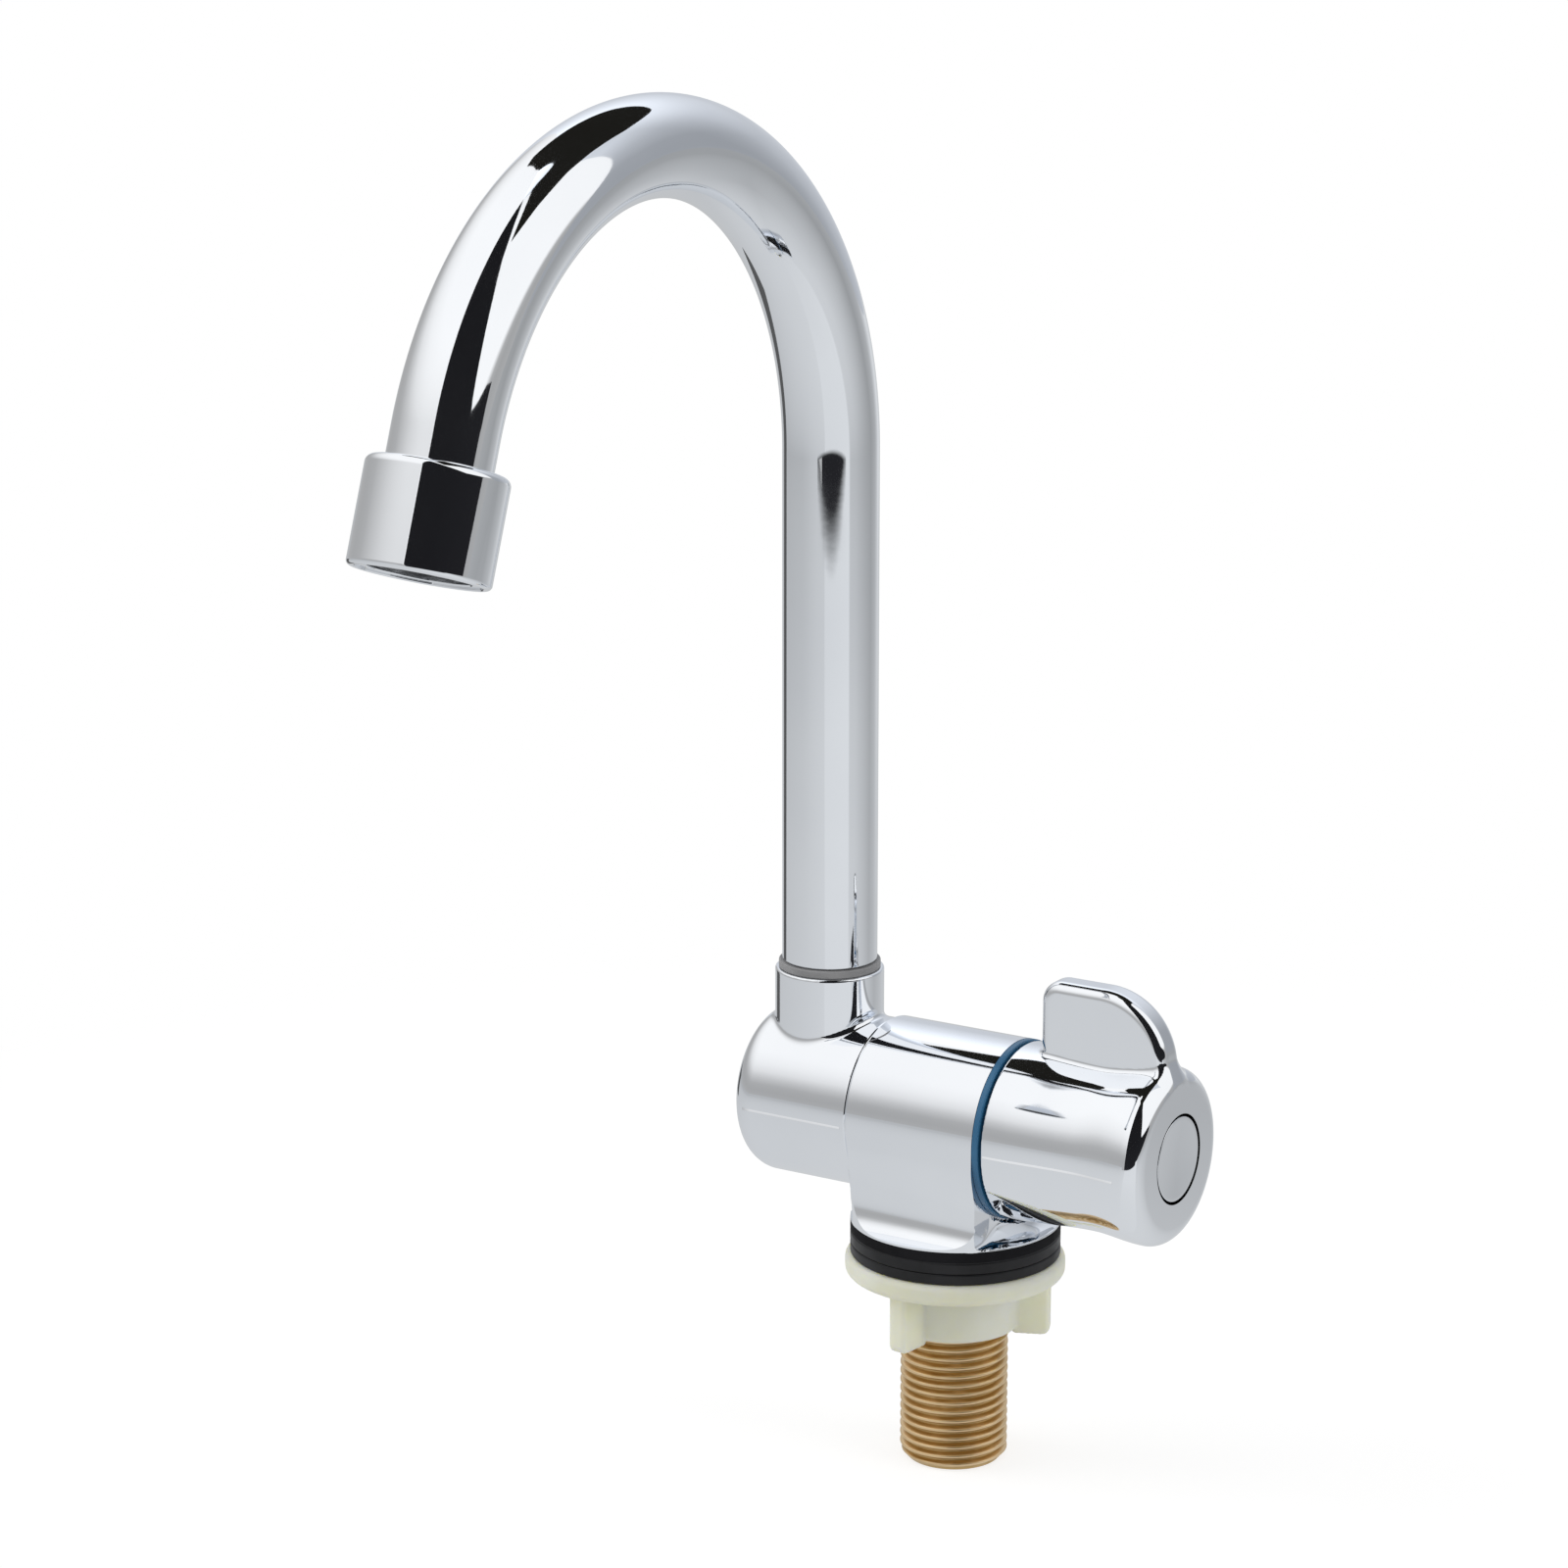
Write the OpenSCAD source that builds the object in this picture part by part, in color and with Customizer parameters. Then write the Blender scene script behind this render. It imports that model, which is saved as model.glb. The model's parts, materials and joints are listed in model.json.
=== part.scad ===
// Folding basin tap: a swan-neck spout on a fold-down knuckle, with a quarter-turn handle at the side.
// Millimetres, Z up. The origin is on the shank's axis at deck level. The barrel lies along X,
// with the handle at +X, and the spout points to -Y.

/* [Deck fixing] */
// Diameter of the base rim, its gasket and the deck washer
base_d = 40.8; // [40:0.2:46]
// Thickness of the gasket under the base
gasket_t = 4.5; // [2:0.5:8]
// Depth of the groove around the gasket
gasket_groove = 0.4; // [0.2:0.1:0.8]
// Thickness of the washer above the nut
washer_t = 2.2; // [1:0.2:4]
// Major diameter of the shank's thread
thread_d = 20.955; // [19:0.005:22]
// Pitch of the shank's thread
thread_pitch = 1.814; // [1.5:0.001:2]
// Depth of the shank's thread
thread_depth = 1.162; // [0.8:0.001:1.3]
// Length of the shank below the deck
shank_len = 44.2; // [36:0.2:70]
// Bore of the shank
shank_bore_d = 13; // [8:0.5:14]
// Length of the shank inside the body
shank_grip = 7.5; // [6:0.5:7.5]
// Thickness of the seal above the shank
shank_seal_t = 1.2; // [0.8:0.1:1.5]
// Diameter of the nut's flange
nut_flange_d = 42.8; // [40:0.2:50]
// Thickness of the nut's flange
nut_flange_t = 4.2; // [3:0.2:6]
// Diameter of the nut's hub
nut_hub_d = 25; // [24:0.2:32]
// Height of the nut without its wings
nut_h = 14.8; // [11:0.2:20]
// Thickness of a nut's wing
wing_t = 3.8; // [3:0.2:6]
// Radius of a wing's lower corner
wing_round = 1.5; // [1:0.5:5]
// Number of wings
wing_count = 3; // [2:1:6]
// From a wing's tip to the flange's edge
wing_inset = 2.7; // [0.5:0.1:4]
// How far a wing reaches below the hub
wing_drop = 1.2; // [0:0.1:2]
// Angle from the handle's side to the first wing
wing_turn = 263; // [0:1:360]

/* [Body] */
// Height of the barrel's axis above the base's underside
axis_rise = 20.5; // [20:0.5:26]
// Diameter of the body's barrel
barrel_d = 34.8; // [33:0.2:36]
// From the shank's axis to the seam with the knuckle
seam_x = 14.5; // [13.5:0.5:18]
// From the shank's axis to the barrel's right face
barrel_right = 13.2; // [12.5:0.2:16]
// Thickness of the base rim
rim_t = 1.2; // [0.8:0.1:1.6]
// Depth of the column above the rim, from front to back
column_d = 31.6; // [30:0.2:33]
// From the barrel's axis down to where the column draws in
column_start = 3.5; // [1:0.5:6]
// Height of the flare from the rim to the column
flare_h = 7; // [3:0.5:9]
// Room under the parts that turn above the base
sweep_clear = 0.6; // [0.4:0.1:1]
// Gap between knuckle and body
seam_gap = 0.4; // [0.3:0.1:0.8]
// Thickness of the blue ring
ring_t = 1.3; // [1:0.1:2]
// Diameter of the boss that the blue ring sits on
ring_boss_d = 24; // [23:0.5:25]

/* [Fold pivot] */
// Diameter of the hollow pivot bolt
pivot_d = 15; // [14.5:0.1:16]
// Waterway in the pivot bolt
pivot_bore_d = 9.6; // [7:0.2:10]
// Diameter of a water port in the pivot bolt
pivot_port_d = 5; // [3:0.5:6]
// Width of the water groove around those ports
water_w = 8; // [6:0.5:8]
// Depth of that water groove
water_depth = 1.7; // [1:0.1:2]
// Thickness of the pivot bolt's flange
pivot_flange_t = 2; // [1.5:0.1:2.5]
// Thickness of the gasket under that flange
pivot_gasket_t = 0.8; // [0.5:0.1:1]
// Thickness of the body's wall that carries the bolt
pivot_wall = 7; // [5:0.5:7.5]
// Diameter of the bolt's threaded end
pivot_stud_d = 8; // [6:0.5:10]
// Thickness of the washer that sets the fold's friction
pivot_washer_t = 1.3; // [0.8:0.1:1.6]
// Height of the pivot nut
pivot_nut_h = 2.4; // [2:0.1:3]
// Width of the pivot nut across its flats
pivot_nut_af = 13; // [12:0.5:15]
// Diameter of the thrust washer
thrust_d = 22; // [20:0.5:26]
// Depth of the thrust washer's seat
thrust_seat = 1; // [0.6:0.1:1.5]

/* [Knuckle] */
// Diameter of the knuckle's barrel
knuckle_d = 33.4; // [31:0.2:34.4]
// Length of the knuckle
knuckle_len = 27.2; // [27.2:0.2:34]
// Radius at the knuckle's outer edge
knuckle_round = 5.4; // [2:0.2:5.8]
// From the knuckle's inner face to the spout's axis
spout_inset = 13.8; // [12.5:0.1:13.8]
// Diameter of the spout socket
socket_d = 21.2; // [20.4:0.2:23]
// Height of the socket above the barrel's axis
socket_h = 25.9; // [24:0.1:34]
// Waterway from the pivot up to the socket
knuckle_port_d = 7.5; // [5:0.5:8]
// Diameter of the plug in the knuckle's end
knuckle_cap_d = 21; // [19.5:0.2:21.2]
// Thickness of that plug
knuckle_cap_t = 1.5; // [1:0.1:1.8]

/* [Spout] */
// Diameter of the spout tube
tube_d = 18.5; // [17.5:0.1:20]
// Wall of the spout tube
tube_wall = 1.2; // [0.8:0.1:1.6]
// Height above the barrel's axis where the bend starts
riser_h = 127.5; // [60:0.5:220]
// Radius of the bend, on the tube's centre line
bend_r = 63.5; // [45:0.5:90]
// Angle that the tube bends through
bend_angle = 160; // [120:1:175]
// Straight tube between the bend and the nozzle
tip_len = 5.5; // [2:0.5:20]
// Thickness of the swivel washer
swivel_t = 1.5; // [1:0.1:2.5]
// Diameter of the swivel washer
swivel_d = 19.8; // [19.4:0.1:20.4]
// Diameter of the ferrule's stem in the socket
stem_d = 16; // [15:0.1:16.4]
// Length of the ferrule inside the tube
ferrule_grip = 9; // [5:0.5:15]
// Bore of the ferrule
ferrule_bore_d = 10; // [8:0.2:10.5]

/* [Nozzle and aerator] */
// Diameter of the nozzle
nozzle_d = 24.8; // [24:0.2:28]
// Length of the nozzle
nozzle_len = 19; // [17.5:0.5:26]
// Wall of the nozzle
nozzle_wall = 1.4; // [1.2:0.1:1.6]
// Radius at the nozzle's upper edge
nozzle_round = 1.5; // [0.5:0.1:2.5]
// Tube and wall that the nozzle is brazed over
nozzle_grip = 4; // [3:0.5:6]
// Height of the threaded ring that holds the aerator
aerator_h = 9.5; // [8:0.5:11]
// Wall of that ring
aerator_wall = 1.1; // [0.8:0.1:1.4]
// Depth of the outlet behind the ring's lip
outlet_depth = 1.2; // [0.8:0.1:2]
// Thickness of the aerator's washer
aerator_washer_t = 1.6; // [1:0.1:2]
// Thickness of the aerator's screen
screen_t = 0.6; // [0.4:0.1:0.8]
// Diameter of a hole in the screen and the insert
jet_d = 1.8; // [1.2:0.1:2]

/* [Handle] */
// Diameter of the handle next to the blue ring
handle_d = 34.4; // [33:0.2:34.8]
// From the handle's open end to its waist
waist_x = 18.5; // [14:0.5:22]
// Diameter at the handle's waist
waist_d = 32.6; // [32:0.2:34]
// Diameter of the rounded flange at the handle's end
flange_d = 34.4; // [33:0.2:38]
// Length of the handle
handle_len = 33.1; // [31:0.1:42]
// Rounding of the flange
flange_round = 3.4; // [1.5:0.1:4]
// Wall of the handle
handle_wall = 1.7; // [1.3:0.1:1.8]
// Gap between the blue ring and the handle
handle_gap = 0.5; // [0.4:0.1:1]
// Thickness of the thumb fin
fin_t = 7; // [5:0.5:9]
// Top of the thumb fin above the barrel's axis
fin_h = 31.3; // [26:0.1:40]
// From the handle's open end to the fin
fin_start = 4.7; // [3:0.1:8]
// Radius of the fin's outer corner
fin_round = 14; // [4:0.2:15]
// Radius of the fin's inner corner
fin_corner = 4; // [1:0.1:5]
// From the fin's outer edge to the handle's end
fin_inset = 1.7; // [0.5:0.1:3]
// Diameter of the cap in the handle's end
cap_d = 16.6; // [15:0.1:18]
// Thickness of the cap's face
cap_t = 1.6; // [1:0.1:2.5]
// Depth of the hollow in the cap's face
cap_dish = 0.4; // [0.2:0.1:0.6]
// Diameter of the boss on the spindle
boss_d = 15; // [13:0.5:17]
// Length of the handle screw below its head
screw_len = 10.8; // [7:0.2:12]
// Diameter of the handle screw's thread
screw_d = 5; // [4:0.5:5]
// Diameter of the handle screw's head
screw_head_d = 9; // [8:0.5:11]
// Height of the handle screw's head
screw_head_h = 3; // [2:0.5:3.5]

/* [Valve] */
// Bore of the valve chamber
chamber_d = 19.6; // [19:0.1:20]
// Diameter of the headwork where water enters
inner_d = 16.6; // [16:0.1:17]
// Length of the headwork's water inlet
inlet_len = 6.4; // [6:0.1:7]
// Width of the headwork's hexagon across its flats
hex_af = 24; // [22:0.5:24.5]
// Height of the headwork's hexagon
hex_h = 4.8; // [3:0.2:6]
// Diameter of the headwork's neck
neck_d = 14; // [13:0.5:16]
// Length of the headwork's neck
neck_h = 2.6; // [2:0.1:3]
// Diameter of the ceramic discs
disc_d = 12.8; // [12:0.1:13]
// Thickness of a ceramic disc
disc_t = 2.5; // [2:0.1:2.6]
// Diameter of the spindle
spindle_d = 8; // [7:0.1:9]
// Length of the spindle's splined end
spline_len = 10; // [8:0.5:10.5]
// Number of teeth on the spline
spline_count = 20; // [12:1:24]
// Depth of a spline tooth
spline_depth = 0.5; // [0.3:0.1:0.6]
// Turn of the handle from closed to open
quarter_turn = 90; // [60:5:110]

/* [Seals and fits] */
// Thickness of an O-ring
o_ring_t = 1.5; // [1.2:0.1:1.7]
// Clearance around a turning shaft
run_clear = 0.05; // [0.03:0.01:0.08]
// Clearance around a fixed piece
seat_clear = 0.05; // [0.03:0.01:0.1]
// Clearance between faces that turn on each other
face_clear = 0.1; // [0.05:0.01:0.15]
// Clearance around the thread
thread_clear = 0.12; // [0.08:0.01:0.2]
// Gap around the cap in the handle's end
cap_gap = 0.3; // [0.1:0.05:0.4]

/* [Hidden] */
$fn = 96;
eps = 0.02;
over = 1;
end_clear = 0.2;

// Deck fixing
thread_r = thread_d / 2;
core_r = thread_r - thread_depth;
crest_w = thread_pitch / 6;
shank_end = -shank_len;
shank_chamfer = thread_depth;
axis_h = gasket_t + axis_rise;
shank_top = gasket_t + shank_grip;
seal_top = shank_top + shank_seal_t;
nut_top = -washer_t;
nut_bottom = nut_top - nut_h;
nut_edge = 1.2;
wing_sink = 1;
gasket_line = 0.3;

// Body and pivot along the barrel's axis, from left to right
barrel_r = barrel_d / 2;
base_r = base_d / 2;
rim_top = gasket_t + rim_t;
column_r = column_d / 2;
column_top = axis_h - column_start;
column_low = rim_top + flare_h;
column_steps = 12;
flare_w = base_r - column_r;
flare_steps = 12;
wall_right = -seam_x + pivot_wall;
thrust_left = -seam_x - seam_gap + face_clear;
thrust_t = thrust_seat + seam_gap - face_clear;
pivot_r = pivot_d / 2;
pivot_hole_r = pivot_r + run_clear;
flange_left = wall_right + pivot_gasket_t;
flange_right = flange_left + pivot_flange_t;
flange_room = 0.5;
flange_r = chamber_d / 2 - flange_room;

// Knuckle, from its water port to the left
knuckle_r = knuckle_d / 2;
knuckle_right = -seam_x - seam_gap;
knuckle_left = knuckle_right - knuckle_len;
port_x = knuckle_right - spout_inset;
groove_room = 0.5;
groove_w = o_ring_t + groove_room;
groove_land = 0.6;
water_left = port_x - water_w / 2;
water_right = port_x + water_w / 2;
ring_left_x = water_left - groove_land - groove_w / 2;
ring_right_x = (water_right + knuckle_right) / 2;
shaft_left = ring_left_x - groove_w / 2 - groove_land;
shoulder_x = shaft_left - end_clear;
nut_right = shoulder_x - face_clear - pivot_washer_t;
nut_left = nut_right - pivot_nut_h;
stud_left = nut_left - end_clear;
cap_right = knuckle_left + knuckle_cap_t;
knuckle_bay_r = knuckle_cap_d / 2 + seat_clear;
bay_clear = 0.8;

// Socket and spout
socket_r = socket_d / 2;
socket_top = axis_h + socket_h;
socket_edge = 0.5;
swivel_top = socket_top + swivel_t;
tube_r = tube_d / 2;
tube_bore_r = tube_r - tube_wall;
tube_bottom = swivel_top + face_clear;
riser_top = axis_h + riser_h;
stem_r = stem_d / 2;
bore_floor = 1.2;
stem_gap = 0.4;
bore_bottom = axis_h + pivot_r + water_depth + bore_floor;
stem_bottom = bore_bottom + stem_gap;
snap_t = 1.1;
snap_rise = 2.4;
snap_in = 0.9;
snap_out = 0.7;
snap_play = 0.15;
snap_land = 0.9;
snap_z = stem_bottom + snap_rise;
snap_inner_r = stem_r - snap_in;
snap_outer_r = stem_r + snap_out;
snap_gap_deg = 40;
stem_land = 2;
stem_o_low = snap_z + snap_t / 2 + snap_land + groove_w / 2;
stem_o_high = stem_o_low + groove_w + stem_land;
tip_step = 0.05;
tip_y = -bend_r + bend_r * cos(bend_angle);
tip_z = riser_top + bend_r * sin(bend_angle);

// Nozzle and aerator, measured along the tube from the end of the bend
nozzle_r = nozzle_d / 2;
nozzle_top = tip_len;
nozzle_bottom = nozzle_top + nozzle_len;
nozzle_bore_r = nozzle_r - nozzle_wall;
tube_end = nozzle_top + nozzle_grip;
aerator_sink = 0.4;
aerator_bottom = nozzle_bottom - aerator_sink;
aerator_top = aerator_bottom - aerator_h;
aerator_r = nozzle_bore_r - seat_clear;
aerator_bore_r = aerator_r - aerator_wall;
lip_w = 0.8;
lip_r = aerator_bore_r - lip_w;
insert_r = aerator_bore_r - seat_clear;
insert_bottom = aerator_bottom - outlet_depth;
insert_top = aerator_top + screen_t;
jet_web = 0.9;
jet_rim = 0.4;
jet_pitch = jet_d + jet_web;
jet_rings = floor((insert_r - jet_d / 2 - jet_rim) / jet_pitch);
nozzle_step = aerator_top - aerator_washer_t;

// Valve along the barrel's axis
chamber_r = chamber_d / 2;
boss_right = barrel_right + ring_t + end_clear;
seal_left = flange_right;
seal_t = 1.3;
seal_inset = 0.3;
housing_left = seal_left + seal_t;
inlet_right = housing_left + inlet_len;
bay_r = disc_d / 2 + end_clear;
window_w = inner_d / 2;
window_land = 0.4;
fixed_right = housing_left + disc_t;
moving_left = fixed_right + face_clear / 2;
moving_right = moving_left + disc_t;
drive_t = 1.8;
drive_inset = 0.4;
drive_r = disc_d / 2 - drive_inset;
drive_left = moving_right;
drive_right = drive_left + drive_t;
bay_right = drive_right + face_clear;
spindle_r = spindle_d / 2;
spindle_hole_r = spindle_r + run_clear;
hex_right = boss_right + hex_h;
neck_right = hex_right + neck_h;
clip_t = 1;
clip_left = neck_right + face_clear;
clip_right = clip_left + clip_t;
clip_depth = 0.6;
clip_r = spindle_r - clip_depth;
clip_lip = 1.6;
clip_gap_deg = 60;
stop_deg = 36;
stop_slack = 2;
stop_wall = 1.5;
stop_r = neck_d / 2 - stop_wall;
stop_depth = 1.8;
stop_root = 0.5;
clip_land = 0.6;
spline_left = clip_right + clip_land;
spline_relief = 0.2;
spline_right = spline_left + spline_len;
sector_deg = 80;
port_inner_r = 1.2;
disc_rim = 1.4;

// Handle
handle_left = barrel_right + ring_t + handle_gap;
handle_end = handle_left + handle_len;
crest_x = handle_len - flange_round;
cavity_r = waist_d / 2 - handle_wall;
spline_lead = 0.3;
boss_floor = 2.8;
boss_left = spline_left + spline_lead;
spline_floor = spline_right + end_clear;
head_seat = spline_floor + boss_floor;
cavity_end = spline_floor;
screw_tip = head_seat - screw_len;
key_af = 3;
key_depth = 1.8;
recess_r = cap_d / 2 + cap_gap;
cap_skirt = 4;
cap_rim = 0.6;
cap_wall = 1.2;
fin_left = handle_left + fin_start;
fin_right = handle_end - fin_inset;
fin_sink = 0.6;
fin_root = cavity_r + fin_sink;
profile_steps = 24;
flange_steps = 8;

// Puts a shape drawn along Z onto the barrel's axis
module along_barrel() {
    translate([0, 0, axis_h]) rotate([0, 90, 0]) children();
}

// Puts a shape drawn along Z at the end of the bend, with Z along the flow
module at_tip() {
    translate([port_x, tip_y, tip_z]) rotate([bend_angle, 0, 0]) children();
}

// A turned ring from z0 to z1
module ring(outer_r, inner_r, z0, z1) {
    translate([0, 0, z0]) difference() {
        cylinder(r = outer_r, h = z1 - z0);
        translate([0, 0, -eps]) cylinder(r = inner_r, h = z1 - z0 + 2 * eps);
    }
}

// A plain rod from z0 to z1
module rod(r, z0, z1) {
    translate([0, 0, z0]) cylinder(r = r, h = z1 - z0);
}

// A rod with its top edge rounded
module round_top(r, z0, z1, edge) {
    rotate_extrude() {
        translate([0, z0]) square([r, z1 - z0 - edge]);
        translate([0, z0]) square([r - edge, z1 - z0]);
        intersection() {
            translate([r - edge, z1 - edge]) circle(r = edge);
            translate([r - edge, z1 - edge]) square(edge);
        }
    }
}

// An O-ring that fills a groove under a bore of radius outer_r
module o_ring(outer_r, z) {
    translate([0, 0, z]) rotate_extrude()
        translate([outer_r - o_ring_t / 2, 0]) circle(d = o_ring_t, $fn = 32);
}

// A groove for that O-ring
module o_groove(outer_r, z) {
    ring(outer_r + over, outer_r - o_ring_t - seat_clear, z - groove_w / 2, z + groove_w / 2);
}

// A slice of a turned ring between two angles
module sector(outer_r, inner_r, a0, a1, z0, z1) {
    translate([0, 0, z0]) rotate([0, 0, a0]) rotate_extrude(angle = a1 - a0)
        translate([inner_r, 0]) square([outer_r - inner_r, z1 - z0]);
}

// Outline of the spline, grown by a clearance
module spline_2d(grow) {
    tip = spindle_r - spline_relief + grow;
    root = tip - spline_depth;
    step = 360 / spline_count;
    polygon([for (i = [0 : 2 * spline_count - 1])
        let (r = i % 2 == 0 ? tip : root, a = i * step / 2)
        [r * cos(a), r * sin(a)]]);
}

// Hexagonal prism with its width across the flats
module hex(af, z0, z1) {
    translate([0, 0, z0]) cylinder(d = af / cos(30), h = z1 - z0, $fn = 6);
}

// Rings of small holes, with one at the centre
module jets(z0, z1) {
    rod(jet_d / 2, z0, z1);
    for (k = [1 : jet_rings])
        for (i = [0 : 6 * k - 1])
            rotate([0, 0, 60 * i / k]) translate([k * jet_pitch, 0, 0]) rod(jet_d / 2, z0, z1);
}

// Body

// Outline of the concave flare, from the rim up to the column
flare_line = [for (i = [0 : flare_steps]) let (t = 90 * i / flare_steps)
    [base_r - flare_w * sin(t), rim_top + flare_h * (1 - cos(t))]];

// Outline of the drawn-in column, from the flare up to the barrel
column_line = [for (i = [1 : column_steps]) let (t = i / column_steps)
    [ease(column_r, barrel_r, t), column_low + (column_top - column_low) * t]];

// Flare at the two ends of the column, with room for what turns above it
module end_flares() {
    difference() {
        rotate_extrude() polygon(concat(
            [[0, gasket_t], [base_r, gasket_t]], flare_line, [[0, column_low]]
        ));
        translate([over - seam_x, -base_d, 0])
            cube([seam_x + barrel_right - 2 * over, 2 * base_d, axis_h]);
        along_barrel() rod(knuckle_r + sweep_clear, -base_d, -seam_x);
        along_barrel() rod(max(handle_d, barrel_d) / 2 + sweep_clear, barrel_right, base_d);
    }
}

// Column between barrel and rim, with the flare at its front and back
module column() {
    side = concat([[base_r, gasket_t]], flare_line, column_line, [[barrel_r, axis_h]]);
    other = [for (i = [len(side) - 1 : -1 : 0]) [-side[i][0], side[i][1]]];
    intersection() {
        translate([-seam_x, 0, 0]) rotate([90, 0, 90])
            linear_extrude(seam_x + barrel_right) polygon(concat(side, other));
        union() {
            rod(base_r, gasket_t, column_low);
            rod(base_d, column_low - eps, axis_h);
        }
    }
}

module body() {
    color("gainsboro") difference() {
        union() {
            along_barrel() rod(barrel_r, -seam_x, barrel_right);
            along_barrel() rod(ring_boss_d / 2, 0, boss_right);
            column();
            end_flares();
        }
        // valve chamber, and the hole that the pivot bolt passes through
        along_barrel() rod(chamber_r, wall_right, boss_right + eps);
        along_barrel() rod(pivot_r + seat_clear, -seam_x - eps, wall_right + eps);
        along_barrel() rod(thrust_d / 2 + seat_clear, -seam_x - eps, -seam_x + thrust_seat);
        // socket for the shank, and the way up into the chamber
        rod(thread_r + seat_clear, gasket_t - eps, seal_top);
        rod(shank_bore_d / 2, seal_top - eps, axis_h);
    }
}

module base_gasket() {
    color("#1d1d1f") difference() {
        ring(base_r, thread_r + thread_clear, 0, gasket_t);
        ring(base_r + over, base_r - gasket_groove,
            (gasket_t - gasket_line) / 2, (gasket_t + gasket_line) / 2);
    }
}

// Thread crests as rings of the true pitch and depth
module shank() {
    turns = floor((shank_len - 2 * shank_chamfer) / thread_pitch);
    first = shank_end + shank_chamfer;
    color("#b08a4a") rotate_extrude() polygon(concat(
        [[shank_bore_d / 2, shank_end], [core_r, shank_end]],
        [for (i = [0 : turns - 1]) let (z = first + i * thread_pitch) each [
            [core_r, z],
            [thread_r, z + thread_pitch / 2 - crest_w / 2],
            [thread_r, z + thread_pitch / 2 + crest_w / 2]
        ]],
        [[core_r, first + turns * thread_pitch], [core_r, 0], [thread_r, 0]],
        [[thread_r, shank_top], [shank_bore_d / 2, shank_top]]
    ));
}

module shank_seal() {
    color("#202022") ring(thread_r - seal_inset, shank_bore_d / 2 + seal_inset, shank_top, seal_top);
}

module deck_washer() {
    color("#262628") ring(base_r, thread_r + thread_clear, -washer_t, 0);
}

// One wing of the nut, in the plane of its radius
module wing() {
    wing_top = nut_top - nut_flange_t + eps;
    wing_low = nut_bottom - wing_drop;
    wing_r = nut_flange_d / 2 - wing_inset;
    inner = thread_r + thread_clear + wing_sink;
    rotate([90, 0, 0]) translate([0, 0, -wing_t / 2]) linear_extrude(wing_t) {
        translate([inner, wing_low]) square([wing_r - wing_round - inner, wing_top - wing_low]);
        translate([inner, wing_low + wing_round])
            square([wing_r - inner, wing_top - wing_low - wing_round]);
        translate([wing_r - wing_round, wing_low + wing_round]) circle(r = wing_round);
    }
}

module wing_nut() {
    color("#dfe0cc") difference() {
        union() {
            mirror([0, 0, 1]) round_top(nut_flange_d / 2, -nut_top, nut_flange_t - nut_top, nut_edge);
            rod(nut_hub_d / 2, nut_bottom, nut_top - eps);
            for (i = [0 : wing_count - 1]) rotate([0, 0, wing_turn + i * 360 / wing_count]) wing();
        }
        rod(thread_r + thread_clear, nut_bottom - eps, nut_top + eps);
    }
}

// Fold pivot

module pivot_bolt() {
    color("#b5975a") along_barrel() difference() {
        union() {
            rod(flange_r, flange_left, flange_right);
            rod(pivot_r, shaft_left, flange_left + eps);
            rod(pivot_stud_d / 2, stud_left, shaft_left + eps);
        }
        rod(pivot_bore_d / 2, water_left, flange_right + eps);
        for (a = [0, 90]) rotate([0, 0, a]) translate([0, 0, port_x]) rotate([90, 0, 0])
            cylinder(d = pivot_port_d, h = pivot_d + over, center = true);
        o_groove(pivot_r, ring_left_x);
        o_groove(pivot_r, ring_right_x);
    }
}

module pivot_gasket() {
    color("#2a2a2c") along_barrel() ring(flange_r, pivot_r + seat_clear, wall_right, flange_left);
}

module thrust_washer() {
    color("whitesmoke") along_barrel()
        ring(thrust_d / 2, pivot_r + seat_clear, thrust_left, thrust_left + thrust_t);
}

module pivot_o_rings() {
    color("#202022") along_barrel() {
        o_ring(pivot_r, ring_left_x);
        o_ring(pivot_r, ring_right_x);
    }
}

module pivot_washer() {
    color("silver") along_barrel()
        ring(knuckle_bay_r - bay_clear, pivot_stud_d / 2 + seat_clear,
            nut_right, nut_right + pivot_washer_t);
}

module pivot_nut() {
    color("darkgray") along_barrel() difference() {
        hex(pivot_nut_af, nut_left, nut_right);
        rod(pivot_stud_d / 2 + seat_clear, nut_left - eps, nut_right + eps);
    }
}

// Knuckle

module knuckle() {
    color("gainsboro") difference() {
        union() {
            along_barrel() mirror([0, 0, 1])
                round_top(knuckle_r, -knuckle_right, -knuckle_left, knuckle_round);
            translate([port_x, 0, 0]) round_top(socket_r, axis_h, socket_top, socket_edge);
        }
        along_barrel() rod(pivot_hole_r, shoulder_x - eps, knuckle_right + eps);
        along_barrel() rod(pivot_r + water_depth, water_left, water_right);
        along_barrel() rod(knuckle_bay_r, knuckle_left - eps, shoulder_x);
        translate([port_x, 0, 0]) {
            rod(knuckle_port_d / 2, axis_h, bore_bottom + eps);
            rod(stem_r + run_clear, bore_bottom, socket_top + eps);
            rod(snap_outer_r + snap_play, snap_z - snap_t / 2 - snap_play,
                snap_z + snap_t / 2 + snap_play);
        }
    }
}

module knuckle_cap() {
    color("silver") along_barrel() rod(knuckle_cap_d / 2, knuckle_left, cap_right);
}

module swivel_washer() {
    color("gray") translate([port_x, 0, 0])
        ring(swivel_d / 2, stem_r + face_clear, socket_top, swivel_top);
}

// Spout

// The swan neck as a solid of radius r, longer by past at both ends
module swan_neck(r, past) {
    translate([port_x, 0, 0]) rod(r, tube_bottom - past, riser_top);
    translate([port_x, -bend_r, riser_top]) rotate([90, 0, 90])
        rotate_extrude(angle = bend_angle) translate([bend_r, 0]) circle(r = r);
    at_tip() rod(r - tip_step, -eps, tube_end + past);
}

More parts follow.
